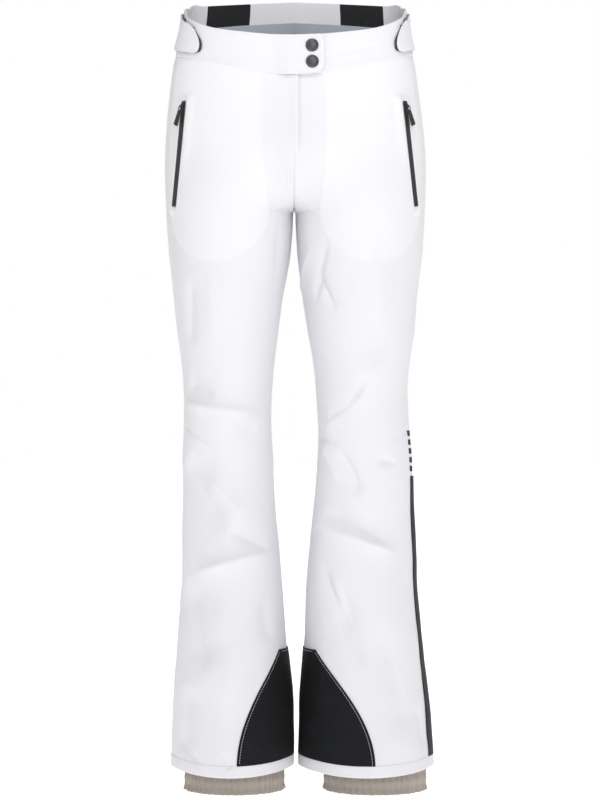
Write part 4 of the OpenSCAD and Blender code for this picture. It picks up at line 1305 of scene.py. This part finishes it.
def make_fly():
    """The zip, the shield behind it and the flap over it."""
    make_zip("fly", fly_line(), 90, 26, -4.8, "hips", ("zip_white", "slider_silver"),
             (WHITE_TAPE, WHITE_COIL, NICKEL, NICKEL),
             {"tapes": ["fly_zip_tapes"], "coil": ["fly_zip_coil"], "slider": ["fly_slider"],
              "slider_body": "fly_slider", "pull": ["fly_pull"], "pull_body": "fly_slider"},
             slider_at=2, splay=0)

    u, s = grid_of(-0.12, 0.11, 50, BAND + 2, 178, 40)
    behind = lambda side, u, s: np.full(np.shape(u), -7.6)
    panel("fly_shield_cloth", LEFT, u, s, behind, "hips", "shell", ["fly_shield"], thick=1.2, rolled="blr")

    # The flap's columns are spaced by x, and each ends on the curved lower edge.
    t = np.linspace(0, 1, 46)
    x = FLY_ROOT + (FLY_EDGE - FLY_ROOT) * np.sin(t * np.pi / 2) ** 0.9
    scan = np.linspace(-0.2, 0.06, 261)
    scan_x = fitted(LEFT, scan, 110)[:, 0]
    x, v = np.meshgrid(x, np.linspace(0, 1, 60))
    s = BAND + 1.5 + (fly_low(x) - BAND - 1.5) * v
    u = np.interp(x, scan_x, scan)

    def flap_lift(side, u, s):
        x = fitted(side, u, s)[..., 0]
        base = np.where(u < 0, shell_relief(RIGHT, -u, s), shell_relief(LEFT, u, s))
        inside = np.minimum(smooth((x - FLY_ROOT) / 6), smooth((fly_low(x) - s) / 8))
        return base - 0.35 + 0.6 * inside + 2.6 * smooth((x + 10) / 14) * smooth((fly_low(x) + 3 - s) / 36)

    def turn_in(by):
        """A line down the flap and along its curved edge, so many millimetres inside it."""
        xs = np.linspace(by - FLY_CURVE, FLY_EDGE - 3, 40)
        low = [(np.interp(x, scan_x, scan), fly_low(min(x - by * 0.5, FLY_EDGE)) - by) for x in xs]
        return [(low[0][0], BAND + 5)] + low

    straight = np.interp(-22, scan_x, scan)
    blend = ("hips", "fly_flap", (FLY_ROOT * MM, 0, 0), (-0.040, 0, 0))
    bag = np.where(u < 0, bag_share(RIGHT, -u, s), bag_share(LEFT, u, s))
    panel("fly_flap_cloth", LEFT, u, s, flap_lift, blend, "shell", ["fly_flap"], rolled="br", mark=bag,
          stitches=[turn_in(2.5), turn_in(9), [(straight, BAND + 5), (straight, 160)]])


# ------------------------------------------------------------------ gaiters

GAITER_TOP, GAITER_Y, GAITER_DEPTH = 880, 8, 78
GAITERS = {RIGHT: ((86, 68), (82, 69)), LEFT: ((96, 68), (111, 71))}
CUFF_TOP, CUFF_END = HEM - 6, HEM + 26
GAITER_ROUND = 470  # length round a gaiter as it is worn
GATHERING = 1.25    # how much longer its cloth is than that


def gaiter_points(side, turn, drop, out):
    """Points round a gaiter at turns from 0 to 1, set out or in by out."""
    (c0, a0), (c1, a1) = GAITERS[side]
    t = smooth((drop - GAITER_TOP) / (HEM - GAITER_TOP))
    c, a = c0 + (c1 - c0) * t, a0 + (a1 - a0) * t + out
    angle = 2 * np.pi * turn
    y = GAITER_Y - (GAITER_DEPTH + out) * np.sin(angle)
    return np.stack([side * (c - a * np.cos(angle)), y, -drop], -1)


def gathers(side, turn, depth):
    """Uneven gathers round a gaiter, from -1 to 1."""
    shift = side * 0.7
    angle = 2 * np.pi * turn
    wander = 0.35 * np.sin(3 * angle + shift) + 0.22 * np.sin(7 * angle + 2 * shift + depth * 2)
    many = np.sin(46 * angle + 3 * wander + shift + 1.5 * depth)
    few = np.sin(17 * angle - 2 * wander + depth)
    return 0.65 * many + 0.35 * few


def gathered_ring(name, side, low, high, lift, body, replaces, thick, rolled):
    """One ring of gaiter cloth between two drops."""
    turn, drop = np.meshgrid(np.linspace(0, 1, 369), np.linspace(low, high, 26))
    p = gaiter_points(side, turn, drop, lift(turn, drop))
    wide_turn, wide_drop = extended(turn), extended(drop)
    q = gaiter_points(side, wide_turn, wide_drop, lift(wide_turn, wide_drop))
    out = side * unit(np.cross(q[2:, 1:-1] - q[:-2, 1:-1], q[1:-1, 2:] - q[1:-1, :-2]))
    chart = np.stack([turn * GAITER_ROUND, drop], -1) * MM
    pile = Pile().sheet(p, out, chart, thick, rolled, (0, 0))
    piece = pile.make(name, [GAITER])
    length = (high - low) * MM
    area = GAITER_ROUND * MM * GATHERING * length
    declare(area, length)
    return place(piece, body, "gaiter", replaces)


def make_gaiter(side):
    """The sleeve inside the hem, and the cuff with its elastic channel."""
    name = SIDES[side]

    def sleeve(turn, drop):
        t = (drop - GAITER_TOP) / (CUFF_TOP - GAITER_TOP)
        return -2.6 + 2.3 * smooth(t) * gathers(side, turn, t)

    def cuff(turn, drop):
        t = (drop - CUFF_TOP) / (CUFF_END - CUFF_TOP)
        channel = np.cos(2 * np.pi * t * 2) * 0.5
        return -1.6 + channel + 2.3 * gathers(side, turn, 1 + 0.5 * t) * (0.75 + 0.25 * np.cos(2 * np.pi * t))

    piece = gathered_ring(f"{name}_gaiter_sleeve", side, GAITER_TOP, CUFF_TOP + 0.5, sleeve,
                          f"{name}_shin", [f"{name}_gaiter"], 1.2, "t")
    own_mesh(piece)
    gathered_ring(f"{name}_gaiter_edge", side, CUFF_TOP, CUFF_END, cuff, f"{name}_cuff",
                  [f"{name}_gaiter_cuff"], 2.4, "tb")


# ------------------------------------------------------------------ building

for side in SIDES:
    make_leg(side)
    make_guard(side)
    make_gaiter(side)
    make_pocket_zip(side)
make_stripe()
make_waist()
for side in SIDES:
    make_adjuster(side)
make_snaps()
make_fly()


# ------------------------------------------------------------------ studio

WORLD_LIGHT = 0.50
# Each light is its name, place, aim, size and power.
LIGHTS = [
    ("key", (0.9, -3.1, 0.85), (0, 0, -0.45), 1.5, 25),
    ("top", (-1.3, -2.2, 1.2), (0, 0, -0.1), 1.2, 2.5),
    ("back", (0.6, 3.2, 1.4), (0, 0, -0.5), 2.0, 12),
    ("inside", (0.1, -0.75, 0.75), (0, 0.1, 0), 0.3, 3.2),
]


def studio():
    """Floor, white surroundings, lights and camera."""
    scene = bpy.context.scene
    scene.view_settings.view_transform = "Standard"
    low = CAD_BOX[0].z
    bpy.ops.mesh.primitive_plane_add(size=40, location=(0, 0, low - 0.0005))
    floor = bpy.context.object
    floor.name = "studio_floor"
    f = Finish("pale_floor")
    shader = f.node("BsdfPrincipled", {}, {"Base Color": (0.7, 0.7, 0.7, 1), "Roughness": 0.9,
                                           "Emission Color": (1, 1, 1, 1), "Emission Strength": 0.9})
    f.node("OutputMaterial", {}, {"Surface": shader})
    floor.data.materials.append(f.material)

    world = bpy.data.worlds.new("studio")
    world.use_nodes = True
    scene.world = world
    tree = world.node_tree
    background = tree.nodes["Background"]
    path = tree.nodes.new("ShaderNodeLightPath")
    strength = tree.nodes.new("ShaderNodeMix")
    strength.inputs[2].default_value = WORLD_LIGHT
    strength.inputs[3].default_value = 1.0
    tree.links.new(path.outputs["Is Camera Ray"], strength.inputs[0])
    tree.links.new(strength.outputs[0], background.inputs["Strength"])
    background.inputs["Color"].default_value = (1, 1, 1, 1)

    for name, where, aim, size, power in LIGHTS:
        light = bpy.data.lights.new(name, "AREA")
        light.shape, light.size, light.energy = "SQUARE", size, power
        holder = bpy.data.objects.new(name, light)
        holder.location = where
        holder.rotation_euler = (Vector(aim) - Vector(where)).to_track_quat("-Z", "Y").to_euler()
        scene.collection.objects.link(holder)

    camera = bpy.data.objects.new("camera", bpy.data.cameras.new("camera"))
    camera.location = (0.008, -4.0, -0.518)
    camera.rotation_euler = (math.pi / 2, 0, 0)
    camera.data.lens = 131.4
    scene.collection.objects.link(camera)
    scene.camera = camera


studio()
